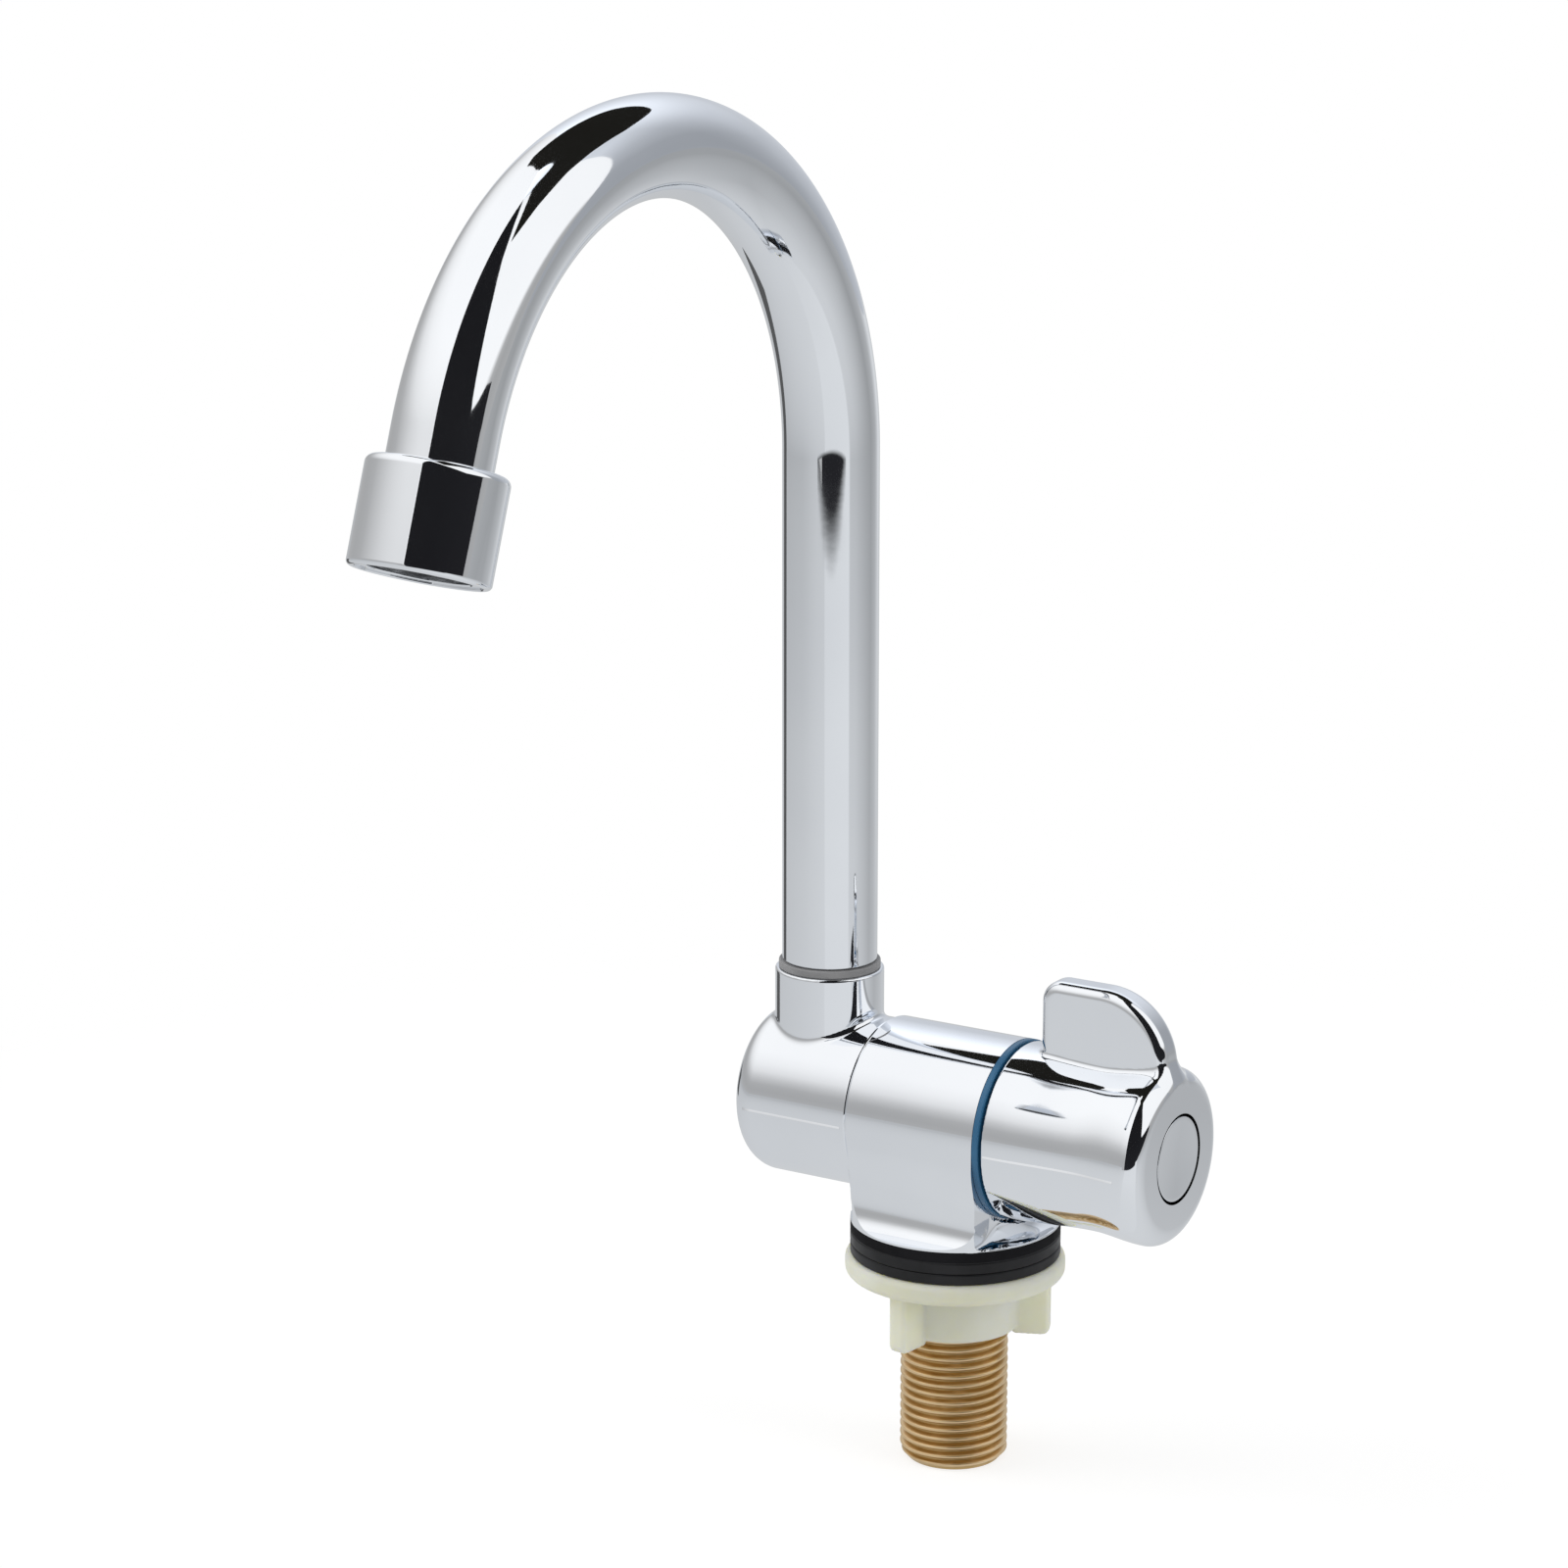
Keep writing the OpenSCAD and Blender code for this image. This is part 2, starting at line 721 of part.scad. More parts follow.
module spout_tube() {
    color("lightgray") difference() {
        swan_neck(tube_r, 0);
        swan_neck(tube_bore_r, eps);
    }
}

module spout_ferrule() {
    color("#b5975a") translate([port_x, 0, 0]) difference() {
        union() {
            rod(stem_r, stem_bottom, tube_bottom);
            rod(tube_bore_r - seat_clear, tube_bottom - eps, tube_bottom + ferrule_grip);
        }
        rod(ferrule_bore_d / 2, stem_bottom - eps, tube_bottom + ferrule_grip + eps);
        ring(stem_r + over, snap_inner_r - snap_play,
            snap_z - snap_t / 2 - seat_clear, snap_z + snap_t / 2 + seat_clear);
        o_groove(stem_r, stem_o_low);
        o_groove(stem_r, stem_o_high);
    }
}

module spout_o_rings() {
    color("#202022") translate([port_x, 0, 0]) {
        o_ring(stem_r, stem_o_low);
        o_ring(stem_r, stem_o_high);
    }
}

module spout_snap_ring() {
    color("dimgray") translate([port_x, 0, 0])
        sector(snap_outer_r, snap_inner_r, snap_gap_deg / 2, 360 - snap_gap_deg / 2,
            snap_z - snap_t / 2, snap_z + snap_t / 2);
}

// Nozzle and aerator

module spout_nozzle() {
    color("lightgray") at_tip() difference() {
        mirror([0, 0, 1]) round_top(nozzle_r, -nozzle_bottom, -nozzle_top, nozzle_round);
        rod(tube_r + seat_clear, nozzle_top - eps, tube_end);
        rod(tube_bore_r, tube_end - eps, nozzle_step + eps);
        rod(nozzle_bore_r, nozzle_step, nozzle_bottom + eps);
    }
}

module aerator_ring() {
    color("silver") at_tip() difference() {
        rod(aerator_r, aerator_top, aerator_bottom);
        rod(aerator_bore_r, aerator_top - eps, insert_bottom);
        rod(lip_r, aerator_top - eps, aerator_bottom + eps);
    }
}

module aerator_washer() {
    color("#202022") at_tip() ring(aerator_r, tube_bore_r, nozzle_step, aerator_top);
}

module aerator_screen() {
    color("slategray") at_tip() difference() {
        rod(insert_r, aerator_top, insert_top);
        jets(aerator_top - eps, insert_top + eps);
    }
}

module aerator_insert() {
    color("#3a3b3d") at_tip() difference() {
        rod(insert_r, insert_top, insert_bottom);
        jets(insert_top - eps, insert_bottom + eps);
    }
}

// Valve

module indicator_ring() {
    color("#2d6a92") along_barrel()
        ring(barrel_r, ring_boss_d / 2 + seat_clear, barrel_right, barrel_right + ring_t);
}

module cartridge_housing() {
    color("#b5975a") along_barrel() difference() {
        union() {
            rod(inner_d / 2, housing_left, inlet_right + eps);
            rod(chamber_r - seat_clear, inlet_right, boss_right + eps);
            hex(hex_af, boss_right, hex_right);
            rod(neck_d / 2, hex_right - eps, neck_right);
        }
        rod(bay_r, housing_left - eps, bay_right);
        rod(spindle_hole_r, bay_right - eps, neck_right + eps);
        // side windows that let the water in
        translate([-window_w / 2, -chamber_r, fixed_right])
            cube([window_w, chamber_d, inlet_right - window_land - fixed_right]);
        // quarter-turn stop cut into the neck
        sector(stop_r + end_clear, spindle_r - eps, -stop_deg / 2 - stop_slack,
            quarter_turn + stop_deg / 2 + stop_slack, neck_right - stop_depth, neck_right + eps);
        o_groove(chamber_r - seat_clear, (inlet_right + boss_right) / 2);
    }
}

module cartridge_seal() {
    color("#202022") along_barrel()
        ring(inner_d / 2 - seal_inset, pivot_bore_d / 2 + seal_inset, seal_left, housing_left);
}

module cartridge_o_ring() {
    color("#202022") along_barrel() o_ring(chamber_r - seat_clear, (inlet_right + boss_right) / 2);
}

// Two opposite sector ports, cut right through
module ports(outer_r, z0, z1, turn) {
    for (a = [0, 180]) rotate([0, 0, a + turn])
        sector(outer_r, port_inner_r, -sector_deg / 2, sector_deg / 2, z0 - eps, z1 + eps);
}

// A ceramic disc with its ports
module disc(z0, z1, turn) {
    difference() {
        rod(disc_d / 2, z0, z1);
        ports(disc_d / 2 - disc_rim, z0, z1, turn);
    }
}

module fixed_disc() {
    color("ivory") along_barrel() disc(housing_left, fixed_right, 0);
}

module moving_disc() {
    color("ghostwhite") along_barrel() disc(moving_left, moving_right, 90);
}

module spindle() {
    color("#c2a566") along_barrel() difference() {
        union() {
            // drive plate that turns the moving disc
            difference() {
                rod(drive_r, drive_left, drive_right);
                ports(disc_d, drive_left, drive_right, 90);
            }
            rod(spindle_r, drive_right - eps, spline_left);
            translate([0, 0, spline_left - eps]) linear_extrude(spline_len + eps) spline_2d(0);
            // stop lug
            sector(stop_r, spindle_r - stop_root, -stop_deg / 2, stop_deg / 2,
                neck_right - stop_depth + face_clear, neck_right);
        }
        rod(screw_d / 2 + seat_clear, screw_tip - end_clear, spline_right + eps);
        o_groove(spindle_r, boss_right);
        ring(spindle_r + over, clip_r, clip_left, clip_right + face_clear);
    }
}

module spindle_o_ring() {
    color("#202022") along_barrel() o_ring(spindle_r, boss_right);
}

module spindle_clip() {
    color("dimgray") along_barrel()
        sector(spindle_r + clip_lip, clip_r + seat_clear, clip_gap_deg / 2, 360 - clip_gap_deg / 2,
            clip_left + seat_clear, clip_right);
}

// Handle

// A smooth step from a to b as t goes from 0 to 1
function ease(a, b, t) = (a + b) / 2 + (a - b) / 2 * cos(180 * t);

// Radius of the handle's outside at a distance from its open end
function handle_r(x) =
    x < waist_x ? ease(handle_d, waist_d, x / waist_x) / 2 :
    x < crest_x ? ease(waist_d, flange_d, (x - waist_x) / (crest_x - waist_x)) / 2 :
    flange_d / 2 - flange_round + sqrt(max(0, pow(flange_round, 2) - pow(x - crest_x, 2)));

module handle_skin() {
    translate([0, 0, handle_left]) rotate_extrude() polygon(concat(
        [[0, 0]],
        [for (i = [0 : profile_steps]) let (x = crest_x * i / profile_steps) [handle_r(x), x]],
        [for (i = [1 : flange_steps])
            let (x = crest_x + flange_round * sin(90 * i / flange_steps)) [handle_r(x), x]],
        [[0, handle_len]]
    ));
}

// Thumb fin, drawn in the plane of the barrel's axis with its height upward
module fin() {
    corner_x = fin_right - fin_round;
    corner_z = fin_h - fin_round;
    translate([0, 0, axis_h]) rotate([90, 0, 0]) translate([0, 0, -fin_t / 2]) linear_extrude(fin_t) {
        translate([fin_left, fin_root]) square([corner_x - fin_left, fin_h - fin_corner - fin_root]);
        translate([fin_left + fin_corner, fin_root])
            square([corner_x - fin_left - fin_corner, fin_h - fin_root]);
        translate([fin_left + fin_corner, fin_h - fin_corner]) circle(r = fin_corner);
        translate([corner_x, fin_root]) square([fin_round, max(eps, corner_z - fin_root)]);
        intersection() {
            translate([corner_x, corner_z]) circle(r = fin_round);
            translate([corner_x - eps, fin_root]) square([fin_round + over, fin_h]);
        }
    }
}

module handle() {
    color("gainsboro") difference() {
        union() {
            along_barrel() difference() {
                handle_skin();
                rod(cavity_r, handle_left - eps, cavity_end);
            }
            along_barrel() rod(boss_d / 2, boss_left, cavity_end + eps);
            fin();
        }
        along_barrel() translate([0, 0, boss_left - eps])
            linear_extrude(spline_floor - boss_left + eps) spline_2d(seat_clear);
        along_barrel() rod(screw_d / 2 + end_clear, spline_floor - eps, head_seat + eps);
        along_barrel() rod(recess_r, head_seat, handle_end + eps);
    }
}

module handle_screw() {
    color("silver") along_barrel() difference() {
        union() {
            rod(screw_d / 2, screw_tip, head_seat + eps);
            rod(screw_head_d / 2, head_seat, head_seat + screw_head_h);
        }
        hex(key_af, head_seat + screw_head_h - key_depth, head_seat + screw_head_h + eps);
    }
}

module handle_cap() {
    dish_r = (pow(cap_d / 2 - cap_rim, 2) + pow(cap_dish, 2)) / (2 * cap_dish);
    color("lightgray") along_barrel() difference() {
        union() {
            rod(cap_d / 2, handle_end - cap_t, handle_end);
            ring(cap_d / 2, cap_d / 2 - cap_wall,
                handle_end - cap_t - cap_skirt, handle_end - cap_t + eps);
        }
        translate([0, 0, handle_end - cap_dish + dish_r]) sphere(r = dish_r);
    }
}

body();
base_gasket();
shank();
shank_seal();
deck_washer();
wing_nut();
pivot_bolt();
pivot_gasket();
thrust_washer();
pivot_o_rings();
pivot_washer();
pivot_nut();
knuckle();
knuckle_cap();
swivel_washer();
spout_tube();
spout_ferrule();
spout_o_rings();
spout_snap_ring();
spout_nozzle();
aerator_ring();
aerator_washer();
aerator_screen();
aerator_insert();
indicator_ring();
cartridge_housing();
cartridge_seal();
cartridge_o_ring();
fixed_disc();
moving_disc();
spindle();
spindle_o_ring();
spindle_clip();
handle();
handle_screw();
handle_cap();
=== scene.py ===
import bpy, json, math
import numpy as np
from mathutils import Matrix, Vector


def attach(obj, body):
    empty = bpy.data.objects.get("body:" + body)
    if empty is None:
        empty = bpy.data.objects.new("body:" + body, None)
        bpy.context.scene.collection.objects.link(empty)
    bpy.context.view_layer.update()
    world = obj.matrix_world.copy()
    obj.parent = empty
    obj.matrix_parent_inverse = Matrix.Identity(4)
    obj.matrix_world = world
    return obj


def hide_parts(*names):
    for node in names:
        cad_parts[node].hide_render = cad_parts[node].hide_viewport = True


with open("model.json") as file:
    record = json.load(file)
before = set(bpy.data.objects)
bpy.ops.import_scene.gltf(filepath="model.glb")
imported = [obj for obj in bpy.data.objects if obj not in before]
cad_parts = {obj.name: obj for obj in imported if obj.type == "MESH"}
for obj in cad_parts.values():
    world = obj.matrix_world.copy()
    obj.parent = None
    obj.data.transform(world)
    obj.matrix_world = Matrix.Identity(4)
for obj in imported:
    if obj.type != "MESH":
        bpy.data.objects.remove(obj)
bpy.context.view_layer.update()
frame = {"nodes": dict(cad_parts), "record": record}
mm = 0.001
axisHigh = 25.0        # barrel axis above the deck
portX = -28.7          # spout axis
print("frame loaded:", len(frame["nodes"]), "nodes")

# camera
shot = {"place": (432.779, -754.391, 313.876), "azimuth": 32.032, "elevation": 14.376, "lens": 108.83,
        "sensor": 36.0, "clip": (0.05, 30.0)}
camData = bpy.data.cameras.new("shotCamera")
camData.lens = shot["lens"]
camData.sensor_width = shot["sensor"]
camData.clip_start, camData.clip_end = shot["clip"]
camera = bpy.data.objects.new("shotCamera", camData)
bpy.context.scene.collection.objects.link(camera)
azim, elev = math.radians(shot["azimuth"]), math.radians(shot["elevation"])
backward = Vector((math.sin(azim) * math.cos(elev), -math.cos(azim) * math.cos(elev), math.sin(elev)))
camera.location = Vector(shot["place"]) * mm
camera.rotation_mode = "QUATERNION"
camera.rotation_quaternion = (-backward).to_track_quat("-Z", "Y")
bpy.context.scene.camera = camera
print("camera set")


# mesh makers, all in millimetres

def newPiece(name, verts, faces, normals=None):
    mesh = bpy.data.meshes.new(name)
    mesh.from_pydata((np.asarray(verts) * mm).tolist(), [], faces)
    mesh.polygons.foreach_set("use_smooth", np.ones(len(mesh.polygons), bool))
    mesh.update()
    if normals is not None and len(normals) == len(verts):
        mesh.normals_split_custom_set_from_vertices(np.asarray(normals).tolist())
    elif normals is not None:
        mesh.normals_split_custom_set(np.asarray(normals).tolist())      # one for each corner of each face
    piece = bpy.data.objects.new(name, mesh)
    bpy.context.scene.collection.objects.link(piece)
    return piece


def roundedLoop(corners, arcSteps=7):
    # corners are (radius, height, rounding), in order round the section
    loop = []
    count = len(corners)
    for i, (r, z, rounding) in enumerate(corners):
        here = np.array([r, z], float)
        if rounding <= 0:
            loop.append(here)
            continue
        toLast = np.array(corners[i - 1][:2], float) - here
        toNext = np.array(corners[(i + 1) % count][:2], float) - here
        toLast /= np.linalg.norm(toLast)
        toNext /= np.linalg.norm(toNext)
        half = math.acos(np.clip(toLast @ toNext, -1, 1)) / 2
        middle = toLast + toNext
        middle /= np.linalg.norm(middle)
        centre = here + middle * rounding / math.sin(half)
        start = here + toLast * rounding / math.tan(half) - centre
        end = here + toNext * rounding / math.tan(half) - centre
        turn = math.atan2(start[0] * end[1] - start[1] * end[0], start @ end)
        for k in range(arcSteps + 1):
            t = turn * k / arcSteps
            loop.append(centre + np.array([start[0] * math.cos(t) - start[1] * math.sin(t),
                                           start[0] * math.sin(t) + start[1] * math.cos(t)]))
    return np.array(loop)


def splitLong(loop, longest):
    out = []
    for i, here in enumerate(loop):
        after = loop[(i + 1) % len(loop)]
        n = max(1, int(math.ceil(np.linalg.norm(after - here) / longest)))
        out += [here + (after - here) * k / n for k in range(n)]
    return np.array(out)


def turned(name, loop, path, segments=128):
    # sweeps a closed section round a path; path gives origin, along, across and aside at a height
    loop = np.asarray(loop, float)
    after = np.roll(loop, -1, 0)
    if np.sum(loop[:, 0] * after[:, 1] - after[:, 0] * loop[:, 1]) < 0:
        loop = loop[::-1]
        after = np.roll(loop, -1, 0)
    step = after - loop
    sideways = np.stack([step[:, 1], -step[:, 0]], 1)       # outward, weighted by length
    onAxis = (loop[:, 0] < 1e-6) & (after[:, 0] < 1e-6)
    sideways[onAxis] = 0
    bend = sideways + np.roll(sideways, 1, 0)
    bend /= np.maximum(np.linalg.norm(bend, axis=1, keepdims=True), 1e-9)
    angles = np.arange(segments) * 2 * math.pi / segments
    verts, normals, rings = [], [], []
    for (r, z), (outN, alongN) in zip(loop, bend):
        origin, along, across, aside = path(z)
        if r < 1e-6:
            rings.append([len(verts)])
            verts.append(origin)
            normals.append(along * (1 if alongN > 0 else -1))
            continue
        ring = []
        for a in angles:
            radial = across * math.cos(a) + aside * math.sin(a)
            ring.append(len(verts))
            verts.append(origin + radial * r)
            normals.append(radial * outN + along * alongN)
        rings.append(ring)
    faces = []
    for i in range(len(rings)):
        a, b = rings[i], rings[(i + 1) % len(rings)]
        for k in range(segments):
            m = (k + 1) % segments
            if len(a) > 1 and len(b) > 1:
                faces.append((a[k], a[m], b[m], b[k]))
            elif len(a) > 1:
                faces.append((a[k], a[m], b[0]))
            elif len(b) > 1:
                faces.append((a[0], b[m], b[k]))
    return newPiece(name, verts, faces, normals)


unitX, unitY, unitZ = np.eye(3)


def upright(x=0.0, y=0.0):
    return lambda z: (np.array([x, y, z]), unitZ, unitX, unitY)


def alongBarrel(z):
    return np.array([z, 0.0, axisHigh]), unitX, unitY, unitZ


swanNeck = {"radius": 9.25, "wall": 1.2, "foot": 52.5, "riserTop": 152.5, "bendRadius": 63.5, "bend": 160.0,
            "tip": 9.5, "ringEvery": 1.2}


def neckPath(s):
    # s runs up the riser from the deck, then round the bend and down to the nozzle
    top, radius = swanNeck["riserTop"], swanNeck["bendRadius"]
    turn = min(max((s - top) / radius, 0.0), math.radians(swanNeck["bend"]))
    along = np.array([0.0, -math.sin(turn), math.cos(turn)])
    aside = np.array([0.0, math.cos(turn), math.sin(turn)])
    origin = np.array([portX, -radius, top]) + radius * aside
    beyond = s - top - radius * turn if s > top else s - top
    return origin + along * beyond, along, unitX, aside


tipStart = swanNeck["riserTop"] + swanNeck["bendRadius"] * math.radians(swanNeck["bend"])


def fromTip(s):
    return neckPath(tipStart + s)


# fields for cast pieces: signed distance in millimetres, negative inside

def roundUnion(a, b, fillet):
    near = np.minimum(a, b)
    return np.maximum(fillet, near) - np.hypot(np.maximum(fillet - a, 0), np.maximum(fillet - b, 0))


def roundMeet(a, b, edge):
    return -roundUnion(-a, -b, edge)


def cut(a, b, edge):
    return roundMeet(a, -b, edge)


boreEdge, mouthEdge = 0.1, 0.2        # roundings inside a bore and at its mouth


def slab(v, low, high):
    return np.abs(v - (low + high) / 2) - (high - low) / 2


def rod(p, axis, centre, radius, low, high, edge):
    others = [k for k in range(3) if k != axis]
    rho = np.hypot(p[:, others[0]] - centre[0], p[:, others[1]] - centre[1])
    return roundMeet(rho - radius, slab(p[:, axis], low, high), edge)


def bored(p, axis, centre, bores):
    # bores are (radius, from, to) along one axis
    return [rod(p, axis, centre, radius, low, high, boreEdge) for radius, low, high in bores]


casting = {"blocks": 24, "probe": 0.02, "leastSlope": 0.2, "pulls": 3, "creasePulls": 4, "creaseReach": 1.2,
           "astray": 0.96, "inward": 0.35}


def castPiece(name, field, low, high, step, creases=()):
    # one point in each cell that the surface crosses, pulled onto it, and a face round each crossed edge
    axes = [np.arange(a - 2 * step, b + 2.5 * step, step) for a, b in zip(low, high)]
    size = [len(a) for a in axes]
    grid = np.stack(np.meshgrid(*axes, indexing="ij"), -1).reshape(-1, 3)
    values = np.concatenate([field(part) for part in np.array_split(grid, casting["blocks"])]).reshape(size)
    inside = values < 0
    corner = [(i, j, k) for i in (0, 1) for j in (0, 1) for k in (0, 1)]

    def shifted(block, c):
        return block[c[0]:size[0] - 1 + c[0], c[1]:size[1] - 1 + c[1], c[2]:size[2] - 1 + c[2]]

    count = sum(shifted(inside, c).astype(np.int8) for c in corner)
    active = (count > 0) & (count < 8)
    cells = np.argwhere(active)
    at = np.stack([shifted(values, c)[active] for c in corner], 1)
    total = np.zeros((len(cells), 3))
    hits = np.zeros((len(cells), 1))
    for i, a in enumerate(corner):
        for j, b in enumerate(corner):
            if j > i and sum(abs(np.array(a) - b)) == 1:
                crossed = (at[:, i] < 0) != (at[:, j] < 0)
                t = at[crossed, i] / (at[crossed, i] - at[crossed, j])
                total[crossed] += np.array(a) + t[:, None] * (np.array(b) - a)
                hits[crossed] += 1
    verts = (cells + total / hits) * step + np.array([a[0] for a in axes])
    number = np.full([n - 1 for n in size], -1, np.int64)
    number[active] = np.arange(len(cells))
    quads = []
    for k in range(3):
        u, v = (k + 1) % 3, (k + 2) % 3
        first = np.take(inside, np.arange(size[k] - 1), k)
        second = np.take(inside, np.arange(1, size[k]), k)
        edge = np.argwhere(first != second)
        ways = first[tuple(edge.T)]
        ring = []
        for du, dv in ((-1, -1), (0, -1), (0, 0), (-1, 0)):
            c = edge.copy()
            c[:, u] += du
            c[:, v] += dv
            ring.append(number[tuple(c.T)])
        ring = np.stack(ring, 1)
        ring[~ways] = ring[~ways][:, ::-1]
        quads.append(ring)
    faces = np.concatenate(quads)
    h = casting["probe"]

    def slopesOf(f, points):
        return np.stack([(f(points + h * e) - f(points - h * e)) / (2 * h) for e in np.eye(3)], 1)

    def slopeAt(points):
        slope = slopesOf(field, points)
        return slope, np.maximum(np.linalg.norm(slope, axis=1, keepdims=True), casting["leastSlope"])

    for pull in range(casting["pulls"]):
        slope, length = slopeAt(verts)
        verts = verts - np.clip(field(verts)[:, None] * slope / length ** 2, -step / 2, step / 2)
    # a cell that a crease runs through puts its point on the line where the two fields meet
    around = ((cells[:, None] + np.array(corner)) * step + np.array([a[0] for a in axes])).reshape(-1, 3)
    for crease in creases:
        sides = [f(around).reshape(-1, 8) < 0 for f in crease]
        crossed = np.all([s.any(1) & ~s.all(1) for s in sides], 0)
        spot = verts[crossed]
        for pull in range(casting["creasePulls"]):
            off = np.stack([f(spot) for f in crease], 1)
            lean = np.stack([slopesOf(f, spot) for f in crease], 1)
            square = lean @ lean.transpose(0, 2, 1) + 1e-6 * np.eye(2)
            spot = spot - (lean.transpose(0, 2, 1) @ np.linalg.solve(square, off[:, :, None]))[:, :, 0]
        near = np.linalg.norm(spot - verts[crossed], axis=1) < casting["creaseReach"] * step
        verts[np.flatnonzero(crossed)[near]] = spot[near]
    slope, length = slopeAt(verts)
    # at a tight edge each face takes its own side's normal
    corners = verts[faces]
    facing = np.cross(corners[:, 2] - corners[:, 0], corners[:, 3] - corners[:, 1])
    facing /= np.maximum(np.linalg.norm(facing, axis=1, keepdims=True), 1e-9)
    normals = (slope / length)[faces].reshape(-1, 3)
    astray = np.sum(normals * np.repeat(facing, 4, 0), 1) < casting["astray"]
    inward = corners + casting["inward"] * (corners.mean(1, keepdims=True) - corners)
    inward = inward.reshape(-1, 3)[astray]
    slope, length = slopeAt(inward)
    normals[astray] = slope / length
    return newPiece(name, verts, faces.tolist(), normals)


def place(piece, body, slotName, *nodes):
    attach(piece, body)
    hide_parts(*nodes)
    return piece


# finishes, built from nodes in object space

noiseDetail = {"tone": 5, "gloss": 4, "relief": 3}
toneStops = (0.35, 0.65)


def operation(nodes, kind, name):
    node = nodes.new(kind)
    node.operation = name
    return node


def nodeFinish(name, spec):
    mat = bpy.data.materials.new(name)
    mat.use_nodes = True
    nodes, links = mat.node_tree.nodes, mat.node_tree.links
    shader = nodes["Principled BSDF"]
    shader.inputs["Metallic"].default_value = spec.get("metal", 0.0)
    for socket, value in spec.get("sockets", {}).items():
        shader.inputs[socket].default_value = value
    where = nodes.new("ShaderNodeTexCoord").outputs["Object"]

    def noise(scale, detail, stretch=None):
        source = where
        if stretch:
            mapping = nodes.new("ShaderNodeMapping")
            mapping.inputs["Scale"].default_value = stretch
            links.new(source, mapping.inputs["Vector"])
            source = mapping.outputs["Vector"]
        tex = nodes.new("ShaderNodeTexNoise")
        tex.inputs["Scale"].default_value = scale
        tex.inputs["Detail"].default_value = detail
        links.new(source, tex.inputs["Vector"])
        return tex.outputs["Fac"]

    def between(fac, low, high, start=0.3, stop=0.7):
        span = nodes.new("ShaderNodeMapRange")
        span.inputs["From Min"].default_value = start
        span.inputs["From Max"].default_value = stop
        span.inputs["To Min"].default_value = low
        span.inputs["To Max"].default_value = high
        links.new(fac, span.inputs["Value"])
        return span.outputs["Result"]

    # colour clouds
    ramp = nodes.new("ShaderNodeValToRGB")
    for stop, position, tone in zip(ramp.color_ramp.elements, toneStops, spec["tones"]):
        stop.position = position
        stop.color = (*tone, 1)
    cloud = noise(spec["toneScale"], noiseDetail["tone"])
    if "crest" in spec:      # painted highlight and shade: paler from a thread's root out to its crest, lit crests and shaded roots
        level = operation(nodes, "ShaderNodeVectorMath", "MULTIPLY")
        level.inputs[1].default_value = (1, 1, 0)
        links.new(where, level.inputs[0])
        reach = operation(nodes, "ShaderNodeVectorMath", "LENGTH")
        links.new(level.outputs["Vector"], reach.inputs[0])
        # the painted highlight on the crests and painted shade in the roots are added to the colour clouds
        crestLightRootShade = operation(nodes, "ShaderNodeMath", "ADD")
        links.new(cloud, crestLightRootShade.inputs[0])
        root, crest, gain = spec["crest"]
        links.new(between(reach.outputs["Value"], -gain, gain, root, crest), crestLightRootShade.inputs[1])
        cloud = crestLightRootShade.outputs[0]
    links.new(cloud, ramp.inputs["Fac"])
    links.new(ramp.outputs["Color"], shader.inputs["Base Color"])
    # gloss
    gloss = noise(spec["glossScale"], noiseDetail["gloss"])
    links.new(between(gloss, *spec["rough"]), shader.inputs["Roughness"])
    # relief, coarse and fine
    normal = None
    for scale, strength, depth, stretch in spec["relief"]:
        bump = nodes.new("ShaderNodeBump")
        bump.inputs["Strength"].default_value = strength
        bump.inputs["Distance"].default_value = depth
        links.new(noise(scale, noiseDetail["relief"], stretch), bump.inputs["Height"])
        if normal:
            links.new(normal, bump.inputs["Normal"])
        normal = bump.outputs["Normal"]
    if "seam" in spec:      # the mould's parting line, a fine step that fades out at both ends
        seam = spec["seam"]
        split = nodes.new("ShaderNodeSeparateXYZ")
        links.new(where, split.inputs[0])
        aside = operation(nodes, "ShaderNodeMath", "SUBTRACT")
        aside.inputs[1].default_value = seam["middle"]
        links.new(split.outputs["X"], aside.inputs[0])
        away = operation(nodes, "ShaderNodeMath", "ABSOLUTE")
        links.new(aside.outputs[0], away.inputs[0])
        step = nodes.new("ShaderNodeBump")
        step.inputs["Distance"].default_value = seam["rise"]
        within = between(away.outputs[0], 1, 0, seam["reach"] - seam["fade"], seam["reach"])
        links.new(within, step.inputs["Strength"])
        low, high = seam["high"] - seam["wide"] / 2, seam["high"] + seam["wide"] / 2
        links.new(between(split.outputs["Z"], 1, 0, low, high), step.inputs["Height"])
        links.new(normal, step.inputs["Normal"])
        normal = step.outputs["Normal"]
    links.new(normal, shader.inputs["Normal"])
    return mat


